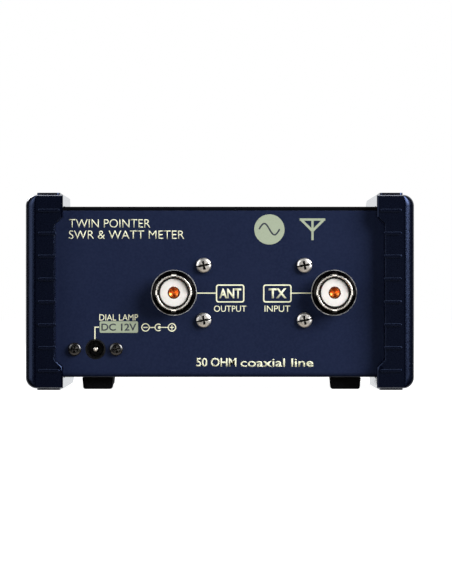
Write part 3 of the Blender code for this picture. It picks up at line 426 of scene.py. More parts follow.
def circuit_board():
    made = Surface("circuit_board", (0.020, 0.115, 0.045), 0.38, Coat_Weight=0.4, Coat_Roughness=0.2)
    made.tint(made.remap(made.cells(2.2, "DISTANCE_TO_EDGE"), 0.05, 0.12, 0.6, 0.0), (0.045, 0.20, 0.08))
    made.uneven(1.0, 0.08)
    return made.grain(0.4, 0.006, detail=2).material


def housing_white():
    made = Surface("housing_white", (0.76, 0.75, 0.71), 0.5)
    made.blotches(8, (0.4, 0.7), 0.5, (0.70, 0.68, 0.63), detail=4)
    return made.grain(0.5, 0.01, detail=2).material


def dial_card():
    made = Surface("dial_card", (0.87, 0.85, 0.74), 0.6)
    made.blotches(14, (0.4, 0.7), 0.5, (0.83, 0.80, 0.67), detail=4)
    made.blotches(0.3, (0.5, 0.8), 0.3, (0.78, 0.76, 0.66), detail=2)
    return made.grain(0.35, 0.004, detail=2).material


def clear_window():
    made = Surface("clear_window", (0.97, 0.985, 0.99), 0.03, Transmission_Weight=1.0, IOR=1.49)
    return made.uneven(6, 0.012).material


def needle_black():
    made = Surface("needle_black", (0.010, 0.010, 0.011), 0.45)
    made.blotches(1.5, (0.5, 0.8), 0.5, (0.02, 0.02, 0.02))
    return made.uneven(0.5, 0.08).material


def soft_iron():
    made = Surface("soft_iron", (0.30, 0.30, 0.31), 0.42, 1.0)
    made.blotches(1.5, (0.45, 0.7), 0.6, (0.22, 0.20, 0.19), detail=4)
    return made.uneven(0.6, 0.1).material


def lamp_glass():
    made = Surface("lamp_glass", (0.98, 0.93, 0.80), 0.06, Transmission_Weight=0.9, IOR=1.5)
    return made.uneven(2, 0.03).material


def lead_sleeve():
    made = Surface("lead_sleeve", (0.36, 0.02, 0.02), 0.42)
    made.blotches(2, (0.45, 0.7), 0.5, (0.27, 0.015, 0.015))
    return made.uneven(0.8, 0.08).material


def ink(name, color):
    """Silk-screen ink: matt, a little uneven."""
    made = Surface(name, color, 0.55)
    darker = [part * 0.86 for part in color]
    made.blotches(0.35, (0.5, 0.75), 0.7, darker)
    made.uneven(0.6, 0.08, detail=2)
    return made.grain(0.12, 0.004, detail=2).material


FINISHES = (floor_white, navy_paint, cover_black, bumper_plastic, black_plastic, foot_rubber, nickel,
            black_screw, zinc_steel, insulator_white, copper, contact_gilt, brass, ferrite, circuit_board,
            housing_white, dial_card, clear_window, needle_black, soft_iron, lamp_glass, lead_sleeve)
INKS = {
    "cream_ink": (0.80, 0.80, 0.57),
    "sage_ink": (0.33, 0.38, 0.27),
    "dark_ink": (0.020, 0.024, 0.040),
    "white_ink": (0.75, 0.75, 0.72),
    "black_ink": (0.012, 0.012, 0.013),
    "red_ink": (0.55, 0.03, 0.02),
}
MATERIALS = {finish.__name__: finish() for finish in FINISHES}
MATERIALS.update({name: ink(name, color) for name, color in INKS.items()})


# ---- shapes -----------------------------------------------------------------------------------------

def to_object(name, build, material):
    bmesh.ops.recalc_face_normals(build, faces=build.faces)
    mesh = bpy.data.meshes.new(name)
    build.to_mesh(mesh)
    build.free()
    made = bpy.data.objects.new(name, mesh)
    bpy.context.scene.collection.objects.link(made)
    mesh.materials.append(MATERIALS[material])
    return made


def arc(cu, cv, radius, start, end, steps):
    """Points on an arc, angles in degrees."""
    angles = [radians(start + (end - start) * i / steps) for i in range(steps + 1)]
    return [(cu + radius * cos(angle), cv + radius * sin(angle)) for angle in angles]


def circle(cu, cv, radius, sides=64):
    return arc(cu, cv, radius, 0, 360 - 360 / sides, sides - 1)


def rectangle(cu, cv, half_u, half_v):
    return [(cu - half_u, cv - half_v), (cu + half_u, cv - half_v),
            (cu + half_u, cv + half_v), (cu - half_u, cv + half_v)]


def rounded(low_u, high_u, low_v, high_v, radius, steps=8):
    """A rectangle's outline with round corners."""
    points = []
    for cu, cv, start in ((high_u - radius, high_v - radius, 0), (low_u + radius, high_v - radius, 90),
                          (low_u + radius, low_v + radius, 180), (high_u - radius, low_v + radius, 270)):
        points += arc(cu, cv, radius, start, start + 90, steps)
    return points


def placed(outline, level, along="y"):
    """An outline's world places at one level of an axis; its pairs are the other two, in x, y, z order."""
    if along == "y":
        return [world(u, level, v) for u, v in outline]
    if along == "x":
        return [world(level, u, v) for u, v in outline]
    return [world(u, v, level) for u, v in outline]


def prism(outline, start, end, along="y", build=None):
    """A bmesh: an outline pushed along one axis, or that shape added to a bmesh."""
    build = build or bmesh.new()
    ends = [[build.verts.new(place) for place in placed(outline, level, along)] for level in (start, end)]
    build.faces.new(ends[0])
    build.faces.new(ends[1])
    for i in range(len(outline)):
        j = (i + 1) % len(outline)
        build.faces.new((ends[0][i], ends[0][j], ends[1][j], ends[1][i]))
    return build


def loft(rows):
    """A bmesh skinned over rows of places, and closed by its first and last rows."""
    build = bmesh.new()
    rings = [[build.verts.new(place) for place in row] for row in rows]
    for first, second in zip(rings, rings[1:]):
        for i in range(len(first)):
            j = (i + 1) % len(first)
            build.faces.new((first[i], first[j], second[j], second[i]))
    build.faces.new(rings[0])
    build.faces.new(rings[-1])
    return build


def absorb(build, other):
    """Add another bmesh to a bmesh, and free the other one."""
    mesh = bpy.data.meshes.new("absorbed")
    other.to_mesh(mesh)
    other.free()
    build.from_mesh(mesh)
    bpy.data.meshes.remove(mesh)


def box(first, second):
    """A bmesh box between two opposite corners."""
    outline = [(first[0], first[2]), (second[0], first[2]), (second[0], second[2]), (first[0], second[2])]
    return prism(outline, first[1], second[1])


def around(at, axis, along, radius, angle):
    """The world place at a distance and an angle about an axis through `at`."""
    u = radius * cos(angle)
    v = radius * sin(angle)
    if axis == "y":
        return world(at[0] + u, along, at[2] + v)
    if axis == "x":
        return world(along, at[1] + u, at[2] + v)
    return world(at[0] + u, at[1] + v, along)


def turned(rows, at, sides=96, axis="y", ring=False, radius_at=None):
    """A bmesh of revolution from (place along the axis, radius, ...) rows; `ring` joins last to first.
    `radius_at(row, angle)` may shape the radius around the turn."""
    build = bmesh.new()
    made = []
    for row in rows:
        if row[1] == 0:
            made.append([build.verts.new(around(at, axis, row[0], 0, 0))])
            continue
        angles = [tau * i / sides for i in range(sides)]
        radii = [radius_at(row, angle) if radius_at else row[1] for angle in angles]
        made.append([build.verts.new(around(at, axis, row[0], r, angle)) for r, angle in zip(radii, angles)])
    pairs = list(zip(made, made[1:]))
    if ring:
        pairs.append((made[-1], made[0]))
    for first, second in pairs:
        for i in range(sides):
            j = (i + 1) % sides
            if len(first) == 1:
                build.faces.new((first[0], second[i], second[j]))
            elif len(second) == 1:
                build.faces.new((first[i], first[j], second[0]))
            else:
                build.faces.new((first[i], first[j], second[j], second[i]))
    return build


def turn(build, at, degrees, axis="Y"):
    """Turn a bmesh about an axis through `at`."""
    matrix = Matrix.Rotation(radians(degrees), 3, axis)
    bmesh.ops.rotate(build, verts=build.verts, cent=world(*at), matrix=matrix)
    return build


def combine(target, tool, operation):
    """Join or cut an object with a bmesh, and keep the result as its mesh."""
    cutter = to_object("cutter", tool, "black_plastic")
    modifier = target.modifiers.new("combine", "BOOLEAN")
    modifier.operation = operation
    modifier.solver = "EXACT"
    modifier.object = cutter
    apply_modifiers(target)
    bpy.data.objects.remove(cutter)


def apply_modifiers(target):
    bpy.context.view_layer.update()
    graph = bpy.context.evaluated_depsgraph_get()
    result = bpy.data.meshes.new_from_object(target.evaluated_get(graph))
    target.modifiers.clear()
    target.data = result


def join(target, tool):
    combine(target, tool, "UNION")


def cut(target, tool):
    combine(target, tool, "DIFFERENCE")


def hole(at, radius, start, end, sides=64):
    """A round cutter along Y."""
    return prism(circle(at.x, at.z, radius, sides), start, end)


def squared(at, half, corner):
    """A square outline with round corners, in X and Z about a place."""
    return rounded(at.x - half, at.x + half, at.z - half, at.z + half, corner)


def soften(target, width, segments=3, angle=32):
    """Round every sharp edge a little, and shade the rest smooth."""
    modifier = target.modifiers.new("soften", "BEVEL")
    modifier.width = width * MM
    modifier.segments = segments
    modifier.limit_method = "ANGLE"
    modifier.angle_limit = radians(angle)
    modifier.harden_normals = True
    modifier.use_clamp_overlap = True
    modifier.miter_outer = "MITER_ARC"
    return smooth(target, 180)


def smooth(target, angle=40):
    """Shade smooth, with edges sharp over the angle and the larger faces kept flat when it is under 180."""
    target.data.shade_smooth()
    if angle < 180:
        target.data.set_sharp_from_angle(angle=radians(angle))
        modifier = target.modifiers.new("flat_faces", "WEIGHTED_NORMAL")
        modifier.keep_sharp = True
    return target


def mark_faces(made, name, chosen):
    """Mark the faces of a made object that `chosen` picks out by their middle and normal."""
    mark = made.data.attributes.new(name, "FLOAT", "FACE")
    for face in made.data.polygons:
        mark.data[face.index].value = 1.0 if chosen(face.center / MM, face.normal) else 0.0


def piece(made, body, slot, *nodes):
    """Put a piece on a body and let it stand for CAD nodes, which it hides. `slot`, its finish, is not used."""
    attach(made, body)
    if nodes:
        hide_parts(*nodes)


# ---- case -------------------------------------------------------------------------------------------

COUPLER_SCREWS = [f"coupler_screw_{row}_{side}" for row in ("low", "high") for side in ("left", "right")]
JACK_SCREWS = ["dc_jack_screw_left", "dc_jack_screw_right"]
BUMPER_SCREWS = [f"bumper_screw_{row}_{side}" for row in ("back", "front") for side in ("left", "right")]
JACK_BARREL_RADIUS = 3.7
JACK_BORE_RADIUS = 2.9
BEND_RADIUS = 2.0
SCREW_HOLE = 1.7
SHAFT_HOLE = 4.9
BUTTON_STEM_HOLE = 3.0
WINDOW_LEFT, WINDOW_RIGHT = -31.5, 56.5
WINDOW_LOW, WINDOW_HIGH = 22.5, 65.0
WINDOW_CORNER = 3.0


def window_outline(grow, corner, steps=12):
    """The window opening's outline, grown outwards by a distance."""
    return rounded(WINDOW_LEFT - grow, WINDOW_RIGHT + grow, WINDOW_LOW - grow, WINDOW_HIGH + grow, corner,
                   steps)


def chassis():
    """The folded sheet with its back panel, bottom and front panel."""
    bottom, top = CASE_BOTTOM, high("chassis").z
    back, front = PANEL, high("chassis").y
    half = high("chassis").x
    centre_z = bottom + BEND_RADIUS
    inner = BEND_RADIUS - SHEET
    outline = [(back, top), (back, centre_z)]
    outline += arc(back + BEND_RADIUS, centre_z, BEND_RADIUS, 180, 270, 12)[1:]
    outline += arc(front - BEND_RADIUS, centre_z, BEND_RADIUS, 270, 360, 12)
    outline += [(front, top), (front - SHEET, top)]
    outline += arc(front - BEND_RADIUS, centre_z, inner, 360, 270, 8)
    outline += arc(back + BEND_RADIUS, centre_z, inner, 270, 180, 8)
    outline += [(back + SHEET, top)]
    made = to_object("folded_chassis", prism(outline, -half, half, "x"), "navy_paint")
    through_back = (back - PAST, back + SHEET + PAST)
    through_front = (front - SHEET - PAST, front + PAST)
    for node in ("antenna_socket_shell", "transmitter_socket_shell"):
        cut(made, hole(middle(node), high(node).x - middle(node).x + GAP, *through_back))
    for node in COUPLER_SCREWS + JACK_SCREWS:
        cut(made, hole(middle(node), SCREW_HOLE, *through_back, 24))
    cut(made, hole(middle("dc_jack_pin"), JACK_BARREL_RADIUS + GAP, *through_back))
    cut(made, prism(window_outline(0, WINDOW_CORNER, 8), *through_front))
    cut(made, hole(middle("range_shaft"), SHAFT_HOLE, *through_front, 32))
    button = middle("mode_button")
    cut(made, prism(rectangle(button.x, button.z, BUTTON_STEM_HOLE, BUTTON_STEM_HOLE), *through_front))
    soften(made, 0.18, 2)
    piece(made, "case", "navy_paint", "chassis")


# ---- bumpers, feet and screws -----------------------------------------------------------------------

LIP_EDGE = 64.0  # how far the end lips stop from the middle, between the hooks
HOOK_CHAMFER_LOW = 26.4  # where the lips' edges start to slant towards the hooks, from mid height
HOOK_CHAMFER_HIGH = 29.1
SHORT_HOOK = 66.0  # its length along the case
NARROW_EDGE = 66.5  # where the bumper ends beyond the short hook
HOOK_END_RADIUS = 5.0
HOOK_NOSE = (16.0, 5.0)  # how long the long hook's sloping nose is, and how far it falls
HOOK_ROUNDING = 1.0
LIP_ROUNDING = 0.35
BUMPER_LOW, BUMPER_HIGH = 0.6, 75.9  # without the pads
BUMPER_CORNER = 4.3
BUMPER_ROUNDING = 4.2
BUMPER_FLATNESS = 0.14  # how much of the rounding the top and bottom edges get
PAD_START, PAD_END = 62.2, 71.1
PAD_INSET = 4.4  # from the bumper's end
RIB_HEIGHT = 0.9
RIB_WIDTH = 1.2
RIB_PITCH = 8.88
RIB_RISE = 0.6  # how far the middle of the row stands above mid height
RIBS = 8
RIB_START, RIB_END = 63.5, 70.5
OUTER_RIB_START = 62.2
RECESS_RADIUS, RECESS_DEPTH = 3.4, 2.2  # around a screw's head
BUMPER_SCREW_HOLE = 1.8
FAR = 45.0  # past the top and bottom of a bumper, from mid height
OVERLAP = 0.02  # between faces that would otherwise lie in one plane


def bumper_outline(outer, inset):
    """A bumper's outline seen along Y, drawn in at its outer side and less at top and bottom."""
    x = outer - BUMPER_CORNER
    wide = BUMPER_CORNER - inset
    tall = BUMPER_CORNER - inset * BUMPER_FLATNESS
    outline = [(HOOK_EDGE, BUMPER_LOW + BUMPER_CORNER - tall)]
    for z, start in ((BUMPER_LOW + BUMPER_CORNER, 270), (BUMPER_HIGH - BUMPER_CORNER, 0)):
        outline += [(x + wide * u, z + tall * v) for u, v in arc(0, 0, 1, start, start + 90, 14)]
    return outline + [(HOOK_EDGE, BUMPER_HIGH - BUMPER_CORNER + tall)]


def lip_edge(hook, lip, below, above):
    """The edge of a bumper's end lip, from below mid height to above it, drawn in at the hooks."""
    return [(hook, -below), (hook, -HOOK_CHAMFER_HIGH), (lip, -HOOK_CHAMFER_LOW),
            (lip, HOOK_CHAMFER_LOW), (hook, HOOK_CHAMFER_HIGH), (hook, above)]


def end_opening(back, front):
    """The opening between the end lips, run out past both ends of a bumper, with its edges there rounded."""
    turns = arc(0, 0, 1, 90, 0, 6)
    start, end = back + RIB_HEIGHT, front - RIB_HEIGHT
    levels = [(back - PAST, 1.0), (start - OVERLAP / 2, 1.0)]
    levels += [(start + HOOK_ROUNDING * (1 - v), 1 - u) for u, v in turns[1:]]
    levels += [(end - HOOK_ROUNDING * (1 - v), 1 - u) for u, v in reversed(turns[1:])]
    levels += [(end + OVERLAP / 2, 1.0), (front + PAST, 1.0)]
    rows = []
    for y, share in levels:
        hook = HOOK_EDGE - OVERLAP + HOOK_ROUNDING * share
        lip = LIP_EDGE + LIP_ROUNDING * share
        outline = [(0, -FAR)] + lip_edge(hook, lip, FAR, FAR) + [(0, FAR)]
        rows.append(placed([(x, MID_HEIGHT + z) for x, z in outline], y))
    return loft(rows)


def rib(start, y, z, way):
    """A low rib across an end lip, round at both ends; `way` is where it stands out along Y."""
    half = RIB_WIDTH / 2
    rows = []
    for rise, inset in ((-0.5, 0.0), (RIB_HEIGHT - 0.25, 0.0), (RIB_HEIGHT - 0.08, 0.08), (RIB_HEIGHT, 0.25)):
        corner = half - inset - 0.02
        outline = rounded(start + inset, RIB_END - inset, z - half + inset, z + half - inset, corner, 5)
        rows.append(placed(outline, y + way * rise))
    return loft(rows)


def bumper_block(name, outer, back, front):
    """The bumper's outer shape, without its ribs, drawn in at both ends."""
    rounding = arc(BUMPER_ROUNDING, BUMPER_ROUNDING, BUMPER_ROUNDING, 180, 270, 10)
    levels = [(back + RIB_HEIGHT + deep, inset) for deep, inset in rounding]
    levels += [(front - RIB_HEIGHT - deep, inset) for deep, inset in reversed(rounding)]
    rows = [placed(bumper_outline(outer, inset), y) for y, inset in levels]
    return to_object(name, loft(rows), "bumper_plastic")


def long_nose(face, edge, front):
    """The cutter for the long hook's sloping front end. `edge` is 1 at the top and -1 at the bottom."""
    deep, fall = HOOK_NOSE
    low_end, beyond = face - edge * fall, face + edge * PAST
    nose = [(front - deep + deep * u, face - edge * fall * (1 - v)) for u, v in arc(0, 0, 1, 90, 0, 16)]
    return nose + [(front + PAST, low_end), (front + PAST, beyond), (front - deep, beyond)]


def short_end(hook_end, edge, inside, level, front):
    """The cutter for the round end of the short hook, from a level inside the case to past the edge."""
    radius = HOOK_END_RADIUS
    beyond = level + edge * PAST
    end = arc(hook_end - radius, level - edge * radius, radius, edge * 90, 0, 12)
    far_end = front + PAST
    return end + [(hook_end, inside), (far_end, inside), (far_end, beyond), (hook_end - radius, beyond)]


def mirror(made):
    """Turn a made object into its mirror image across x = 0."""
    build = bmesh.new()
    build.from_mesh(made.data)
    bmesh.ops.scale(build, vec=(-1, 1, 1), verts=build.verts)
    bmesh.ops.reverse_faces(build, faces=build.faces)
    build.to_mesh(made.data)
    build.free()


def bumper(name, node, side):
    """A side bumper with ribbed end lips and two hooks over the case, one long and one short. The right
    one's top hook is the long one; the left bumper is the same moulding turned upside down."""
    outer = high("bumper_right").x
    back, front = low(node).y, high(node).y
    reach = CASE_HALF + GAP
    made = bumper_block(name, outer, back, front)
    cut(made, box((0, PANEL - GAP, CASE_BOTTOM - GAP), (reach, CASE_FRONT + GAP, CASE_TOP + GAP)))
    cut(made, end_opening(back, front))
    long_edge, short_edge = side, -side
    faces = {1: BUMPER_HIGH, -1: BUMPER_LOW}
    case_levels = {1: CASE_TOP, -1: CASE_BOTTOM}
    pad_levels = {1: high(node).z, -1: 0.0}
    cut(made, prism(long_nose(faces[long_edge], long_edge, front), 0, outer + PAST, "x"))
    hook_end = back + SHORT_HOOK
    inside = case_levels[short_edge] - short_edge * 0.5
    end = short_end(hook_end, short_edge, inside, pad_levels[short_edge], front)
    cut(made, prism(end, 0, NARROW_EDGE, "x"))
    for edge, stop in ((long_edge, front - HOOK_NOSE[0]), (short_edge, hook_end - HOOK_END_RADIUS)):
        pad = rounded(PAD_START, PAD_END, back + PAD_INSET, stop, 1.2)
        join(made, prism(pad, *sorted((faces[edge] - edge, pad_levels[edge])), "z"))
    for row in ("back", "front"):
        screw = middle(f"bumper_screw_{row}_right")
        cut(made, prism(circle(screw.y, screw.z, BUMPER_SCREW_HOLE, 32), reach - PAST, outer + PAST, "x"))
        cut(made, prism(circle(screw.y, screw.z, RECESS_RADIUS, 64), outer - RECESS_DEPTH, outer + PAST, "x"))
    soften(made, 0.22, 3)
    apply_modifiers(made)
    lowest = MID_HEIGHT + RIB_RISE - RIB_PITCH * (RIBS - 1) / 2
    for i in range(RIBS):
        start = OUTER_RIB_START if i in (0, RIBS - 1) else RIB_START
        for y, way in ((back + RIB_HEIGHT, -1), (front - RIB_HEIGHT, 1)):
            join(made, rib(start, y, lowest + i * RIB_PITCH, way))
    if side < 0:
        mirror(made)

    # The ribs' upward-facing faces are marked for a painted highlight.
    def rib_top_edge(place, normal):
        raised = place.y < back + RIB_HEIGHT - 0.05 or place.y > front - RIB_HEIGHT + 0.05
        return raised and normal.z > 0.15

    mark_faces(made, "painted_light", rib_top_edge)
    mark_faces(made, "matt", lambda place, normal: abs(normal.y) > 0.985)
    piece(smooth(made, 30), "case", "bumper_plastic", node)


FOOT_STEM_RADIUS = 2.4
BOTTOM_ROUNDING = ((0, 5.1, 1.0), (0.15, 5.4, 1.1), (0.5, 5.66, 1.2), (1.0, 5.75, 1.2))  # z, half, corner


def feet():
    """Four rubber feet, a little wider towards the top, each with a stem through the case's bottom."""
    top = CASE_BOTTOM - GAP
    levels = (*BOTTOM_ROUNDING, (top - 0.3, 6.07, 1.2), (top, 5.9, 1.1))
    for row in ("back", "front"):
        for side in ("left", "right"):
            node = f"foot_{row}_{side}"
            at = middle(node)
            rows = []
            for z, half, corner in levels:
                outline = rounded(at.x - half, at.x + half, at.y - half, at.y + half, corner)
                rows.append(placed(outline, z, "z"))
            made = to_object(f"rubber_{node}", loft(rows), "foot_rubber")
            stem = [(top - 1, 0), (top - 1, FOOT_STEM_RADIUS), (top + 2.2, FOOT_STEM_RADIUS),
                    (high(node).z, FOOT_STEM_RADIUS - 0.6), (high(node).z, 0)]
            join(made, turned(stem, at, 32, "z"))
            piece(smooth(made), "case", "foot_rubber", node)


RECESS_ARM, RECESS_HALF = 0.56, 0.13  # a cross recess's reach and half its width, as shares of the head
RECESS_TAPER = 0.45
HEAD_EDGE = 0.12


def pan_screw(name, node, head_radius, head_height, shank_radius, length, material, axis="y", way=1, slot=0.0,
              spin=0.0):
    """A pan-head screw with a cross recess, and a slot across it where `slot` is its width. `way` is where
    its tip points along the axis."""
    at = middle(node)
    index = "xyz".index(axis)
    span = (high(node) - low(node))[index]
    seat = at[index] - way * (span / 2 - head_height)
    rows = []
    for i in range(13):
        bend = radians(90 * i / 12)
        height = head_height * (0.40 + 0.60 * cos(bend) ** 0.62)
        rows.append((seat - way * height, head_radius * sin(bend) ** 0.8))
    rows += [(seat - way * HEAD_EDGE, head_radius), (seat, head_radius - HEAD_EDGE), (seat, shank_radius),
             (seat + way * length, shank_radius), (seat + way * length, 0)]
    made = to_object(name, turned(rows, at, 64, axis), material)
    centre = (at.y if axis == "x" else at.x, at.z)
    above = seat - way * (head_height + 1)
    recess_floor = seat - way * head_height * 0.25
    arm, half = head_radius * RECESS_ARM, head_radius * RECESS_HALF
    for wide, tall in ((arm, half), (half, arm)):
        bar = prism(rectangle(*centre, wide, tall), *sorted((above, recess_floor)), axis)
        taper(bar, recess_floor, index, at, RECESS_TAPER)
        cut(made, turn(bar, at, spin, axis.upper()))
    if slot:
        slot_floor = seat - way * head_height * 0.62
        bar = prism(rectangle(*centre, head_radius + 1, slot / 2), *sorted((above, slot_floor)), axis)
        cut(made, turn(bar, at, spin, axis.upper()))
    back_turn = Matrix.Rotation(radians(-spin), 3, axis.upper())

    def in_recess(place, normal):
        offset = back_turn @ (place - at)
        u, v = abs(offset.y if axis == "x" else offset.x), abs(offset.z)
        in_cross = min(u, v) < half + 0.04 and max(u, v) < arm + 0.04
        in_slot = slot > 0 and v < slot / 2 + 0.03
        return (place[index] - seat) * way < 0 and (in_cross or in_slot)

    # Painted shade: the cross recess and the slot are marked to be painted dark.
    mark_faces(made, "painted_light", in_recess)
    mark_faces(made, "dull", lambda place, normal: True)
    soften(made, 0.04, 2)
    piece(made, "case", material, node)


def taper(build, deep_end, index, at, share):
    """Draw a cutter's deep end in towards an axis through `at`; `index` is the axis's place in x, y, z."""
    centre = world(*at)
    for vert in build.verts:
        if abs(vert.co[index] - deep_end * MM) < 1e-7:
            for other in {0, 1, 2} - {index}:
                vert.co[other] = centre[other] + (vert.co[other] - centre[other]) * share


# ---- sockets ----------------------------------------------------------------------------------------

THREAD_PITCH = 25.4 / 24
THREAD_DEPTH = 0.55
THREAD_RADIUS = 7.95
THREAD_STEPS = 8  # rows in one turn
THREAD_FADE = 0.9  # the length over which the groove runs out at each end
SHOULDER_RADIUS, SHOULDER_LENGTH = 8.65, 1.0
MOUTH_RADIUS = 6.15
RIM_RADIUS = 7.0  # of the flat ring at the tip
RIM_CHAMFER = 0.95
TAIL_RADIUS, TAIL_BORE = 6.9, 4.4
INSULATOR_BACK = PANEL - 2.6
CONTACT_SEAT = PANEL + 7.0
NOTCH_HALF = 0.9
NOTCH_DEPTH = 0.85


def thread_groove(row, angle, start, end):
    """The radius of a shell's row at an angle: rows with a third value, its depth, carry the thread."""
    if len(row) < 3:
        return row[1]
    phase = ((row[0] - start) / THREAD_PITCH - angle / tau) % 1.0
    wave = abs(phase * 2 - 1)
    groove = min(max((0.9 - wave) / 0.8, 0.0), 1.0)
    fade = min((row[0] - start) / THREAD_FADE, (end - row[0]) / THREAD_FADE, 1.0)
    return row[1] - row[2] * groove * max(fade, 0.0)


def socket_shell(label):
    """A threaded shell with a shoulder on the panel and four notches in its rim."""
    node = f"{label}_socket_shell"
    at = middle(node)
    tip, tail = low(node).y, high(node).y
    shoulder = PANEL - SHOULDER_LENGTH
    start, end = tip + RIM_CHAMFER, shoulder - 0.5
    core = THREAD_RADIUS - 0.7
    inner_face = PANEL + SHEET
    rows = [(tip + 0.22, MOUTH_RADIUS), (tip + 0.09, MOUTH_RADIUS + 0.03), (tip + 0.03, MOUTH_RADIUS + 0.08),
            (tip, MOUTH_RADIUS + 0.15), (tip, RIM_RADIUS - 0.18), (tip + 0.03, RIM_RADIUS - 0.1),
            (tip + 0.09, RIM_RADIUS - 0.04), (tip + 0.2, RIM_RADIUS), (start, THREAD_RADIUS - 0.02)]
    count = int((end - start) / THREAD_PITCH * THREAD_STEPS)
    rows += [(start + (end - start) * i / count, THREAD_RADIUS, THREAD_DEPTH) for i in range(1, count)]
    rows += [(end + 0.1, core), (shoulder - 0.1, core), (shoulder, THREAD_RADIUS),
             (shoulder, SHOULDER_RADIUS - 0.22), (shoulder + 0.07, SHOULDER_RADIUS - 0.07),
             (shoulder + 0.25, SHOULDER_RADIUS), (inner_face, SHOULDER_RADIUS), (inner_face, TAIL_RADIUS),
             (tail, TAIL_RADIUS), (tail, TAIL_BORE), (INSULATOR_BACK, TAIL_BORE),
             (INSULATOR_BACK, MOUTH_RADIUS)]

    def threaded(row, angle):
        return thread_groove(row, angle, start, end)

    made = to_object(f"{label}_shell", turned(rows, at, 96, ring=True, radius_at=threaded), "nickel")
    past, mouth, rim = THREAD_RADIUS + 2.05, MOUTH_RADIUS + 0.3, RIM_RADIUS + 0.02
    notch_parts = ((-past, past, NOTCH_DEPTH - 0.05), (-mouth, mouth, NOTCH_DEPTH),
                   (-past, -rim, NOTCH_DEPTH), (rim, past, NOTCH_DEPTH))
    for degrees in (0, 90):
        for first, last, depth in notch_parts:
            notch = box((at.x + first, tip - PAST, at.z - NOTCH_HALF),
                        (at.x + last, tip + depth, at.z + NOTCH_HALF))
            cut(made, turn(notch, at, degrees))

    def in_shade(place, normal):
        radius = hypot(place.x - at.x, place.z - at.z)
        bore = radius < MOUTH_RADIUS + 0.02 and place.y > tip + 0.2
        thread = RIM_RADIUS + 0.02 < radius < SHOULDER_RADIUS - 0.14
        notch = MOUTH_RADIUS < radius < THREAD_RADIUS and tip + 0.3 < place.y < tip + 0.9
        if notch and 6.5 < radius < RIM_RADIUS and normal.y < -0.9:
            return False  # the notches' flat floors stay bright
        return bore or thread or notch

    # Painted shade: the bore, the thread band and the notches are marked to be painted near black.
    mark_faces(made, "painted_light", in_shade)
    piece(smooth(made, 32), "case", "nickel", node)


def socket_insulator(label):
    """The white insulator, with a rounded face and a bore that steps in around the contact."""
    node = f"{label}_socket_insulator"
    face, back = low(node).y, high(node).y
    front_radius, back_radius, shoulder = 5.45, 4.1, PANEL - 2.9
    lip, bore, contact = 2.33, 2.6, 1.8
    rows = [(face + 0.3, lip), (face + 0.06, lip + 0.07), (face, lip + 0.22), (face, front_radius - 0.35),
            (face + 0.1, front_radius - 0.1), (face + 0.35, front_radius), (shoulder, front_radius),
            (shoulder, back_radius), (back, back_radius), (back, contact), (CONTACT_SEAT, contact),
            (CONTACT_SEAT, bore), (face + 3.4, bore), (face + 3.2, lip)]
    at = middle(f"{label}_socket_shell")
    made = to_object(f"{label}_insulator", turned(rows, at, ring=True), "insulator_white")
    piece(smooth(made, 50), "case", "insulator_white", node)


def socket_contact(label):
    """The centre contact: a coned mouth, and four fingers parted by two slots."""
    node = f"{label}_socket_contact"
    tip, tail = low(node).y, high(node).y
    finger, collar, stem = 1.98, 2.3, 1.5
    step = CONTACT_SEAT - GAP
    rows = [(tip + 2.2, 0), (tip + 1.1, finger - 0.26), (tip + 0.3, finger - 0.22),
            (tip + 0.06, finger - 0.18), (tip, finger - 0.12), (tip + 0.06, finger - 0.05),
            (tip + 0.3, finger), (tip + 3.2, finger), (tip + 3.6, collar), (step, collar), (step, stem),
            (tail, stem), (tail, 0)]
    at = middle(f"{label}_socket_shell")
    made = to_object(f"{label}_contact", turned(rows, at, 64), "contact_gilt")
    for degrees in (45, 135):
        slot = box((at.x - 4, tip - PAST, at.z - 0.16), (at.x + 4, tip + 5.0, at.z + 0.16))
        cut(made, turn(slot, at, degrees))
    piece(smooth(made), "case", "copper", node)


JACK_FLOOR = PANEL + 10.0
JACK_SLEEVE_END = PANEL + 4.0
FLANGE_THICKNESS = 2.0
JACK_PIN_HOLE = 1.3
JACK_SCREW_HOLE = 1.6


def jack_body():
    """The lamp's power jack: a barrel through the panel, a flange behind it and a square body."""
    node = "dc_jack_body"
    at = middle("dc_jack_pin")
    face = low(node).y
    flange_start = PANEL + SHEET + GAP
    bore, barrel = JACK_BORE_RADIUS, JACK_BARREL_RADIUS
    flange = rounded(low(node).x, high(node).x, at.z - 3.6, at.z + 3.6, 3.0)
    block = rounded(at.x - 5, at.x + 5, low(node).z, high(node).z, 0.8)
    flange_end = flange_start + FLANGE_THICKNESS
    made = to_object("jack_body", prism(flange, flange_start, flange_end), "black_plastic")
    join(made, prism(block, flange_start + 1, high(node).y))
    cut(made, hole(at, bore, flange_start - PAST, JACK_FLOOR + 1))
    cut(made, hole(at, JACK_PIN_HOLE, JACK_FLOOR, JACK_FLOOR + 5, 24))
    rows = [(face + 1.6, bore), (face + 0.08, barrel - 0.3), (face, barrel - 0.22), (face, barrel - 0.14),
            (face + 0.04, barrel - 0.04), (face + 0.15, barrel), (JACK_SLEEVE_END, barrel),
            (JACK_SLEEVE_END, bore)]
    join(made, turned(rows, at, 64, ring=True))
    for screw in JACK_SCREWS:
        place = Vector((middle(screw).x, at.y, at.z))
        cut(made, hole(place, JACK_SCREW_HOLE, flange_start - PAST, flange_end + PAST, 24))

    def in_barrel(place, normal):
        return place.y < JACK_SLEEVE_END and hypot(place.x - at.x, place.z - at.z) < barrel - 0.16

    # Painted shade: the barrel's face and bore are marked to be painted dark.
    mark_faces(made, "painted_light", in_barrel)
    piece(smooth(made, 35), "case", "black_plastic", node)


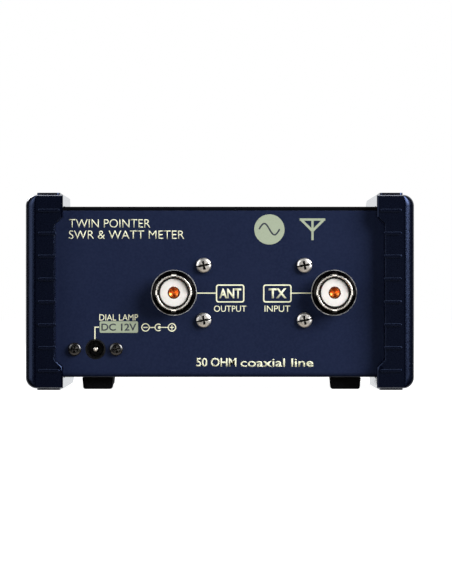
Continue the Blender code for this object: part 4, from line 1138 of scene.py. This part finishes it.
def jack_pin():
    """The jack's centre pin, with a small bore in its rounded tip."""
    node = "dc_jack_pin"
    tip, tail = low(node).y, high(node).y
    bore_floor = PANEL + 6
    radius, bore = 1.0, 0.5
    rows = [(bore_floor, 0), (bore_floor, bore), (tip + 0.1, bore), (tip, bore + 0.08), (tip, radius - 0.28),
            (tip + 0.12, radius - 0.12), (tip + 0.4, radius), (tail, radius), (tail, 0)]
    piece(smooth(to_object("jack_pin", turned(rows, middle(node), 48), "nickel")), "case", "nickel", node)


# ---- printing ---------------------------------------------------------------------------------------

INK_THICKNESS = 0.03
INK_STEP = 0.001  # between one shape and the next
SUNK = 0.01  # how deep ink reaches into the surface under it


def sideways(start, end, width):
    """The step from a line's middle to its edge."""
    du, dv = end[0] - start[0], end[1] - start[1]
    share = width / 2 / hypot(du, dv)
    return -dv * share, du * share


class Print:
    """Flat ink shapes on one face, gathered into one piece. `face` is the surface's y and `way` its
    outward direction along y. Lengths along the surface are x and z."""

    def __init__(self, face, way, thickness=INK_THICKNESS):
        self.way = way
        self.near = face - way * SUNK
        self.far = face + way * thickness
        self.build = bmesh.new()

    def shape(self, outline):
        """Each shape stands a hair above the last, so that overlaps show one surface."""
        prism(outline, self.near, self.far, build=self.build)
        self.far += self.way * INK_STEP

    def band(self, inner, outer, closed=True):
        """A strip between two outlines with the same number of points."""
        rows = []
        for y in (self.near, self.far):
            rows.append([[self.build.verts.new(world(u, y, v)) for u, v in line] for line in (inner, outer)])
        (low_in, low_out), (high_in, high_out) = rows
        count = len(inner)
        for i in range(count if closed else count - 1):
            j = (i + 1) % count
            for a, b in ((low_in, low_out), (low_out, high_out), (high_out, high_in), (high_in, low_in)):
                self.build.faces.new((a[i], a[j], b[j], b[i]))
        if not closed:
            for i in (0, count - 1):
                self.build.faces.new((low_in[i], low_out[i], high_out[i], high_in[i]))

    def bar(self, x0, x1, z0, z1):
        self.shape(rectangle((x0 + x1) / 2, (z0 + z1) / 2, (x1 - x0) / 2, (z1 - z0) / 2))

    def stroke(self, start, end, width):
        """A straight line between two points."""
        nu, nv = sideways(start, end, width)
        self.shape([(start[0] + nu, start[1] + nv), (start[0] - nu, start[1] - nv),
                    (end[0] - nu, end[1] - nv), (end[0] + nu, end[1] + nv)])

    def ring(self, x, z, radius, width, sides=64):
        self.band(circle(x, z, radius - width / 2, sides), circle(x, z, radius + width / 2, sides))

    def arc(self, x, z, radius, width, start, end, steps=48):
        self.band(arc(x, z, radius - width / 2, start, end, steps),
                  arc(x, z, radius + width / 2, start, end, steps), closed=False)

    def line(self, points, width):
        """A smooth line through points."""
        sides = ([], [])
        for i, (u, v) in enumerate(points):
            nu, nv = sideways(points[max(i - 1, 0)], points[min(i + 1, len(points) - 1)], width)
            sides[0].append((u - nu, v - nv))
            sides[1].append((u + nu, v + nv))
        self.band(*sides, closed=False)

    def words(self, text, x0, x1, z0, z1, bold=0.0):
        """Lettering that fills the box from (x0, z0) to (x1, z1). On the front, x0 is the larger x."""
        curve = bpy.data.curves.new("words", "FONT")
        curve.body = text
        curve.size = 1.0
        curve.offset = bold
        curve.resolution_u = 6
        holder = bpy.data.objects.new("words", curve)
        bpy.context.scene.collection.objects.link(holder)
        bpy.context.view_layer.update()
        mesh = bpy.data.meshes.new_from_object(holder.evaluated_get(bpy.context.evaluated_depsgraph_get()))
        bpy.data.objects.remove(holder)
        flat = bmesh.new()
        flat.from_mesh(mesh)
        bmesh.ops.remove_doubles(flat, verts=flat.verts, dist=1e-5)
        us = [vert.co.x for vert in flat.verts]
        vs = [vert.co.y for vert in flat.verts]
        for vert in flat.verts:
            u = (vert.co.x - min(us)) / (max(us) - min(us))
            v = (vert.co.y - min(vs)) / (max(vs) - min(vs))
            vert.co = world(x0 + (x1 - x0) * u, self.near, z0 + (z1 - z0) * v)
        extruded = bmesh.ops.extrude_face_region(flat, geom=flat.faces[:])["geom"]
        lifted = [item for item in extruded if isinstance(item, bmesh.types.BMVert)]
        bmesh.ops.translate(flat, verts=lifted, vec=world(0, self.far - self.near, 0))
        absorb(self.build, flat)

    def done(self, name, material, body="case", slot="navy_paint"):
        """Make the piece; `slot` names the surface under the ink, and piece() does not use it."""
        piece(to_object(name, self.build, material), body, slot)


TITLE_LEFT = -58.9
LAMP_LABEL = (-46.9, -31.9)  # its left and right edges
SIGNS_HEIGHT = 24.4  # of the sine disc and the aerial sign, above mid height
LEAD_LINE = 0.45  # the lines' thickness


def socket_legend(ink_print, box_x, label, label_x, word, word_x):
    """A boxed label at mid height with a word under it."""
    x0, x1 = box_x
    z0, z1 = MID_HEIGHT - 3.85, MID_HEIGHT + 2.7
    half = 0.25
    ink_print.band(rounded(x0 + half, x1 - half, z0 + half, z1 - half, 0.6),
                   rounded(x0 - half, x1 + half, z0 - half, z1 + half, 1.0))
    ink_print.words(label, *label_x, z0 + 1.4, z1 - 1.3, 0.03)
    ink_print.words(word, *word_x, MID_HEIGHT - 7.7, MID_HEIGHT - 5.3)


def panel_print():
    """Generic legends on the back panel: what each socket and the jack are for."""
    mid = MID_HEIGHT
    antenna = middle("antenna_socket_shell")
    radio = middle("transmitter_socket_shell")
    power = middle("dc_jack_pin")
    cream = Print(PANEL, -1)
    cream.words("TWIN POINTER", TITLE_LEFT, -27.2, mid + 25.1, mid + 28.4, -0.006)
    cream.words("SWR & WATT METER", TITLE_LEFT, -13.9, mid + 20.7, mid + 24.0, -0.006)
    socket_legend(cream, (-1.3, 9.3), "ANT", (-0.3, 8.3), "OUTPUT", (-2.3, 10.3))
    socket_legend(cream, (17.1, 27.7), "TX", (19.0, 26.0), "INPUT", (17.4, 27.4))
    line_low = mid - 0.65
    cream.bar(antenna.x + 9.0, -1.5, line_low, line_low + LEAD_LINE)
    cream.bar(27.9, radio.x - 8.9, line_low, line_low + LEAD_LINE)
    cream.words("DIAL LAMP", LAMP_LABEL[0] - 0.1, LAMP_LABEL[1], mid - 11.1, mid - 8.7)
    cream.bar(power.x - LEAD_LINE, power.x, mid - 18.4, mid - 13.5)
    cream.bar(power.x - LEAD_LINE, LAMP_LABEL[0] - 0.2, mid - 13.9, mid - 13.5)
    polarity(cream, mid - 13.8)
    cream.words("50 OHM", -9.2, 6.4, mid - 29.1, mid - 25.7, 0.016)
    cream.words("coaxial line", 8.0, 36.4, mid - 29.2, mid - 25.9, 0.012)
    cream.done("print_cream", "cream_ink")

    disc_x = 19.3
    sage = Print(PANEL, -1)
    sage.shape(circle(disc_x, mid + SIGNS_HEIGHT, 5.9, 96))
    sage.shape(rounded(*LAMP_LABEL, mid - 15.9, mid - 11.4, 0.6))
    aerial_sign(sage, 36.1, mid + SIGNS_HEIGHT)
    sage.done("print_sage", "sage_ink")

    dark = Print(PANEL - INK_THICKNESS, -1)
    dark.words("DC 12V", LAMP_LABEL[0] + 0.7, LAMP_LABEL[1] - 0.7, mid - 15.1, mid - 12.3, 0.018)
    turns = [i / 40 for i in range(41)]
    dark.line([(disc_x + 8.0 * (t - 0.5), mid + 24.5 + 2.2 * sin(tau * t)) for t in turns], 0.6)
    dark.done("print_dark", "dark_ink")


def polarity(ink_print, z):
    """Centre-positive power: minus in a ring, the sleeve's arc and the pin's dot, plus in a ring."""
    minus, centre, plus = -29.0, -24.0, -18.7
    reach, half = 0.85, 0.17
    for x in (minus, plus):
        ink_print.ring(x, z, 1.45, 0.38)
        ink_print.bar(x - reach, x + reach, z - half, z + half)
    ink_print.bar(plus - half, plus + half, z - reach, z + reach)
    ink_print.arc(centre, z, 1.3, 0.4, 50, 310)
    ink_print.shape(circle(centre + 0.4, z, 0.55, 32))
    ink_print.bar(minus + 1.6, centre - 1.2, z - half, z + half)
    ink_print.bar(centre + 0.7, plus - 1.6, z - half, z + half)


def aerial_sign(ink_print, x, z):
    """A mast with a fan above it, the drawing sign for an aerial."""
    ink_print.bar(x - 0.45, x + 0.45, z - 4.2, z + 4.2)
    for side in (-1, 1):
        ink_print.stroke((x + side * 4.6, z + 4.0), (x, z - 0.6), 0.95)
    ink_print.bar(x - 5.0, x + 5.0, z + 3.4, z + 4.3)


# ---- front ------------------------------------------------------------------------------------------

BEZEL_WALL = FACE - 2.5  # the back of the raised middle's wall
BUTTON_HALF = 4.0
KNOB_HOLE = 4.0
ADJUSTER_HOLE = 1.6


def bezel():
    """The moulded front: flange, raised middle, window opening, and holes for the controls."""
    start = low("front_bezel").y
    flange = rounded(-CASE_HALF, CASE_HALF, CASE_BOTTOM, CASE_TOP, 2.2)
    made = to_object("bezel", prism(flange, start, CASE_FRONT), "black_plastic")
    gap = GAP + 0.1
    right = lip_edge(HOOK_EDGE - gap, LIP_EDGE - gap, MID_HEIGHT - CASE_BOTTOM, CASE_TOP - MID_HEIGHT)
    raised = [(x, MID_HEIGHT + z) for x, z in right] + [(-x, MID_HEIGHT + z) for x, z in reversed(right)]
    join(made, prism(raised, start + 1, FACE))
    hollow = rounded(-LIP_EDGE + 4, LIP_EDGE - 4, CASE_BOTTOM + 3, CASE_TOP - 3, 3.0)
    cut(made, prism(hollow, start - PAST, BEZEL_WALL))
    through = (FACE - 4, FACE + PAST)
    cut(made, prism(window_outline(0, WINDOW_CORNER), *through))
    cut(made, hole(middle("range_shaft"), KNOB_HOLE, *through))
    cut(made, prism(squared(middle("mode_button"), BUTTON_HALF + GAP, 1.0), *through))
    for label in ("forward", "reflected"):
        cut(made, hole(middle(f"{label}_zero_adjuster"), ADJUSTER_HOLE, *through, 32))
    cut(made, window_groove(FACE - 0.4, FACE + PAST))
    soften(made, 0.3, 3)
    piece(made, "case", "black_plastic", "front_bezel")


def window_groove(start, end):
    """The cutter for the fine groove around the window."""
    outer = rounded(WINDOW_LEFT - 2.2, WINDOW_RIGHT + 2.2, WINDOW_LOW - 2.0, WINDOW_HIGH + 2.0, 4.6, 12)
    inner = rounded(WINDOW_LEFT - 1.7, WINDOW_RIGHT + 1.7, WINDOW_LOW - 1.5, WINDOW_HIGH + 1.5, 4.2, 12)
    build = bmesh.new()
    rows = [[build.verts.new(world(u, y, v)) for u, v in line]
            for y, line in ((start, inner), (start, outer), (end, outer), (end, inner))]
    for first, second in zip(rows, rows[1:] + rows[:1]):
        for i in range(len(inner)):
            j = (i + 1) % len(inner)
            build.faces.new((first[i], first[j], second[j], second[i]))
    return build


def window():
    """The clear window: a flange behind the bezel and a pane in its opening."""
    node = "meter_window"
    start = low(node).y
    flange = rounded(low(node).x, high(node).x, low(node).z, high(node).z, 3.5, 12)
    pane = window_outline(-GAP, WINDOW_CORNER - GAP)
    made = to_object("window", prism(flange, start, FACE - 2.8), "clear_window")
    join(made, prism(pane, FACE - 3.2, FACE - 0.5))
    soften(made, 0.25, 3)
    piece(made, "case", "clear_window", node)


KNOB_RADIUS = 10.0
KNOB_BORE = 3.3
FLUTES = 20
FLUTE_DEPTH = 0.6


def knob():
    """A fluted knob with a skirt, a chamfered cap and a white pointer."""
    node = "range_knob"
    at = middle(node)
    back, front = low(node).y, high(node).y
    cap, bore_end = front - 0.4, front - 2.6
    rows = [(back, KNOB_BORE), (back, KNOB_RADIUS - 0.4), (back + 0.3, KNOB_RADIUS, 0.0),
            (back + 1.6, KNOB_RADIUS, 0.0), (back + 2.1, KNOB_RADIUS - 0.3, 0.5),
            (back + 2.6, KNOB_RADIUS - 0.4, 1.0), (front - 1.9, 9.35, 1.0), (front - 1.3, 9.2, 0.6),
            (front - 0.9, 8.9, 0.15), (front - 0.45, 8.5), (front - 0.15, 8.1), (front, 7.7),
            (front - 0.05, 7.3), (front - 0.35, 7.0), (cap, 0), (bore_end, 0), (bore_end, KNOB_BORE)]

    def fluted(row, angle):
        """Rows with a third value carry that share of the flutes' depth."""
        share = row[2] if len(row) > 2 else 0.0
        return row[1] - FLUTE_DEPTH * share * (0.5 - 0.5 * cos(angle * FLUTES)) ** 2

    made = to_object("knob", turned_open(rows, at, 240, fluted), "black_plastic")
    piece(smooth(made, 35), "range_dial", "black_plastic", node)
    half = 0.45
    mark = Print(cap, 1, 0.05)
    mark.bar(at.x - half, at.x + half, at.z + 2.6, at.z + 6.8)
    mark.done("knob_pointer", "white_ink", "range_dial", "black_plastic")
    start, end = back + 3.2, front - 2.2
    side = rectangle(at.x, (start + end) / 2, half, (end - start) / 2)
    side_mark = to_object("knob_side_mark", prism(side, at.z + 9.2, at.z + 9.66, "z"), "white_ink")
    piece(side_mark, "range_dial", "black_plastic")


def turned_open(rows, at, sides, radius_at):
    """A turned body whose rows meet the axis twice inside: its cap and the bottom of its bore."""
    split = next(i for i, row in enumerate(rows) if row[1] == 0)
    build = turned(rows[:split + 1], at, sides, radius_at=radius_at)
    absorb(build, turned(rows[split + 1:], at, sides, radius_at=radius_at))
    bmesh.ops.remove_doubles(build, verts=build.verts, dist=1e-7)
    open_edges = [edge for edge in build.edges if edge.is_boundary]
    bmesh.ops.bridge_loops(build, edges=open_edges)
    return build


def button():
    """The square push button with a dished cap."""
    node = "mode_button"
    at = middle(node)
    front = high(node).y
    levels = ((front - 7.0, 0.0), (front - 0.5, 0.0), (front - 0.15, 0.12), (front, 0.45),
              (front - 0.1, 1.2), (front - 0.28, 2.2), (front - 0.36, 3.2))
    rows = [placed(squared(at, BUTTON_HALF - inset, max(0.9 - inset * 0.2, 0.3)), y) for y, inset in levels]
    made = to_object("button", loft(rows), "black_plastic")
    stem = 1.8
    join(made, box((at.x - stem, low(node).y, at.z - stem), (at.x + stem, front - 6.0, at.z + stem)))
    piece(smooth(made, 50), "mode_push", "black_plastic", node)


def zero_adjusters():
    """Two slotted buttons in front of the bezel, each held by a collar behind its wall."""
    for label in ("forward", "reflected"):
        node = f"{label}_zero_adjuster"
        at = middle(node)
        front, tail = high(node).y, low(node).y
        head, neck, collar, stem = 2.5, ADJUSTER_HOLE - 0.08, 2.1, 1.2
        collar_front, collar_back = BEZEL_WALL - GAP, BEZEL_WALL - 2
        rows = [(front, 0), (front, head - 0.7), (front - 0.08, head - 0.5), (front - 0.5, head - 0.08),
                (front - 0.8, head), (FACE + GAP, head), (FACE + GAP, neck), (collar_front, neck),
                (collar_front, collar), (collar_back, collar), (collar_back, stem), (tail, stem), (tail, 0)]
        made = to_object(f"{label}_adjuster", turned(rows, at, 64), "black_plastic")
        cut(made, box((at.x - 4, front - 0.7, at.z - 0.35), (at.x + 4, front + PAST, at.z + 0.35)))
        soften(made, 0.06, 2)
        piece(made, f"{label}_adjuster", "black_plastic", node)


# ---- dial and front printing ------------------------------------------------------------------------

def joint_place(name):
    joint = next(item for item in frame["joints"] if item["name"] == name)
    return Vector(joint["pos_m"]) / MM


NEEDLE_REST = 10.0  # degrees above level
NEEDLE_SWEEP = 42.0
FORWARD_FULL = 200.0  # watts
REFLECTED_FULL = 40.0
FORWARD_MARKS = ((0, 5, 10, 20, 30, 50, 70, 100, 150, 200), (1, 2, 15, 25, 40, 60, 80, 120, 175))
REFLECTED_MARKS = ((0, 1, 2, 4, 6, 10, 15, 20, 30, 40), (0.5, 3, 5, 8, 12, 25, 35))
SCALE_RADIUS = 53.0
CURVE_REACH = 50.5  # how near the scales the standing-wave curves may come
RATIOS = (1.2, 1.5, 2.0, 3.0, 5.0)
HIGH_RATIO = 3.0  # from here on the curves are red
DIAL_INK = 0.04


def deflection(watts, full):
    """How far a needle stands above level, in degrees, with its detector's square-root law."""
    return NEEDLE_REST + NEEDLE_SWEEP * sqrt(watts / full)


def power_scale(ink_print, pivot, way, full, marks):
    """One arc with long and short marks for watts, and numbers at the long ones that the window shows."""
    long_marks, short_marks = marks

    def on_arc(angle, radius):
        return (pivot.x + way * radius * cos(radians(angle)), pivot.z + radius * sin(radians(angle)))

    sweep = [NEEDLE_REST + NEEDLE_SWEEP * i / 60 for i in range(61)]
    ink_print.line([on_arc(angle, SCALE_RADIUS) for angle in sweep], 0.35)
    for values, reach, width in ((long_marks, 2.4, 0.34), (short_marks, 1.3, 0.22)):
        for value in values:
            angle = deflection(value, full)
            ink_print.stroke(on_arc(angle, SCALE_RADIUS), on_arc(angle, SCALE_RADIUS + reach), width)
    for value in long_marks[1:]:
        text = str(value)
        u, v = on_arc(deflection(value, full), SCALE_RADIUS + 4.0)
        wide = 0.62 * len(text)
        if WINDOW_LEFT + 1.0 < u - wide and u + wide < WINDOW_RIGHT - 1.0 and v < WINDOW_HIGH - 1.6:
            ink_print.words(text, u + wide, u - wide, v - 0.85, v + 0.85, 0.01)


def dial_print():
    """Both power scales, and curves where the needles cross at the same standing-wave ratio."""
    face = high("dial_plate").y
    forward, reflected = joint_place("forward_swing"), joint_place("reflected_swing")
    black = Print(face, 1, DIAL_INK)
    power_scale(black, forward, 1, FORWARD_FULL, FORWARD_MARKS)
    power_scale(black, reflected, -1, REFLECTED_FULL, REFLECTED_MARKS)
    black.done("dial_scales", "black_ink", "case", "dial_card")
    red = Print(face, 1, DIAL_INK)
    thin = Print(face, 1, DIAL_INK)
    for ratio in RATIOS:
        points = swr_curve(ratio, forward, reflected)
        if len(points) > 2:
            ink_print, width = (red, 0.45) if ratio >= HIGH_RATIO else (thin, 0.3)
            ink_print.line(points, width)
            u, v = points[-1]
            text = f"{ratio:g}"
            wide = 0.55 * len(text)
            ink_print.words(text, u + wide, u - wide, v + 0.6, v + 2.1, 0.01)
    red.done("dial_ratios_high", "red_ink", "case", "dial_card")
    thin.done("dial_ratios", "black_ink", "case", "dial_card")


def swr_curve(ratio, forward, reflected):
    """Where the needles cross as the power rises at one standing-wave ratio."""
    reflection = (ratio - 1) / (ratio + 1)
    points = []
    for i in range(61):
        watts = FORWARD_FULL * (0.02 + 0.98 * (i / 60) ** 2)
        back = watts * reflection ** 2
        if back > REFLECTED_FULL:
            break
        a = tan(radians(deflection(watts, FORWARD_FULL)))
        b = tan(radians(deflection(back, REFLECTED_FULL)))
        u = b * (reflected.x - forward.x) / (a + b)
        x, z = forward.x + u, forward.z + a * u
        near = hypot(x - forward.x, z - forward.z)
        far = hypot(x - reflected.x, z - reflected.z)
        if max(near, far) < CURVE_REACH and WINDOW_LOW + 1.5 < z < WINDOW_HIGH - 4:
            points.append((x, z))
    return points


def front_print():
    """Generic legends beside the controls: three range marks with their watts, and the button's two modes."""
    white = Print(FACE, 1)
    knob_at = middle("range_shaft")
    button_at = middle("mode_button")
    for angle, text in ((-30, "20"), (0, "200"), (30, "2k")):
        u, v = sin(radians(angle)), cos(radians(angle))
        start, end = [(knob_at.x + u * radius, knob_at.z + v * radius) for radius in (10.9, 12.2)]
        white.stroke(start, end, 0.4)
        x, z = knob_at.x + u * 14.3, knob_at.z + v * 13.9
        wide = 0.75 * len(text)
        white.words(text, x + wide, x - wide, z - 0.9, z + 0.9, 0.01)
    for text, z in (("AVG", button_at.z + 0.9), ("PEP", button_at.z - 2.5)):
        white.words(text, button_at.x + 12.2, button_at.x + 6.4, z, z + 1.8, 0.01)
    white.words("RANGE  W", knob_at.x + 6.5, knob_at.x - 6.5, knob_at.z - 14.2, knob_at.z - 12.4, 0.01)
    white.done("front_legends", "white_ink", "case", "black_plastic")


# ---- the rest ---------------------------------------------------------------------------------------

def finish_cad_nodes():
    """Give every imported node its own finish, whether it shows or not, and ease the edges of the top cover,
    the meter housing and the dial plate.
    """
    slots = {entry["node"]: entry["material_slot"] for entry in frame["record"]["subparts"]}
    for name, node in frame["nodes"].items():
        node.data.materials.clear()
        node.data.materials.append(MATERIALS[slots[name]])
    for name in ("top_cover", "meter_housing", "dial_plate"):
        modifier = frame["nodes"][name].modifiers.new("soften", "BEVEL")
        modifier.width = 0.2 * MM
        modifier.segments = 2
        modifier.limit_method = "ANGLE"
        modifier.angle_limit = radians(40)


def main():
    camera()
    studio()
    finish_cad_nodes()
    chassis()
    bumper("left_bumper", "bumper_left", -1)
    bumper("right_bumper", "bumper_right", 1)
    feet()
    for node in COUPLER_SCREWS:
        pan_screw(f"plated_{node}", node, 3.0, 1.9, 1.5, 6.0, "nickel", slot=0.55, spin=-12)
    for node, angle in zip(JACK_SCREWS, (8, -20)):
        pan_screw(f"black_{node}", node, 2.6, 1.6, 1.25, 5.0, "black_screw", spin=angle)
    for node in BUMPER_SCREWS:
        way = 1 if node.endswith("left") else -1
        pan_screw(f"black_{node}", node, 2.9, 1.7, 1.5, 7.5, "black_screw", "x", way, spin=20)
    for label in ("antenna", "transmitter"):
        socket_shell(label)
        socket_insulator(label)
        socket_contact(label)
    jack_body()
    jack_pin()
    panel_print()
    bezel()
    window()
    knob()
    button()
    zero_adjusters()
    dial_print()
    front_print()


main()
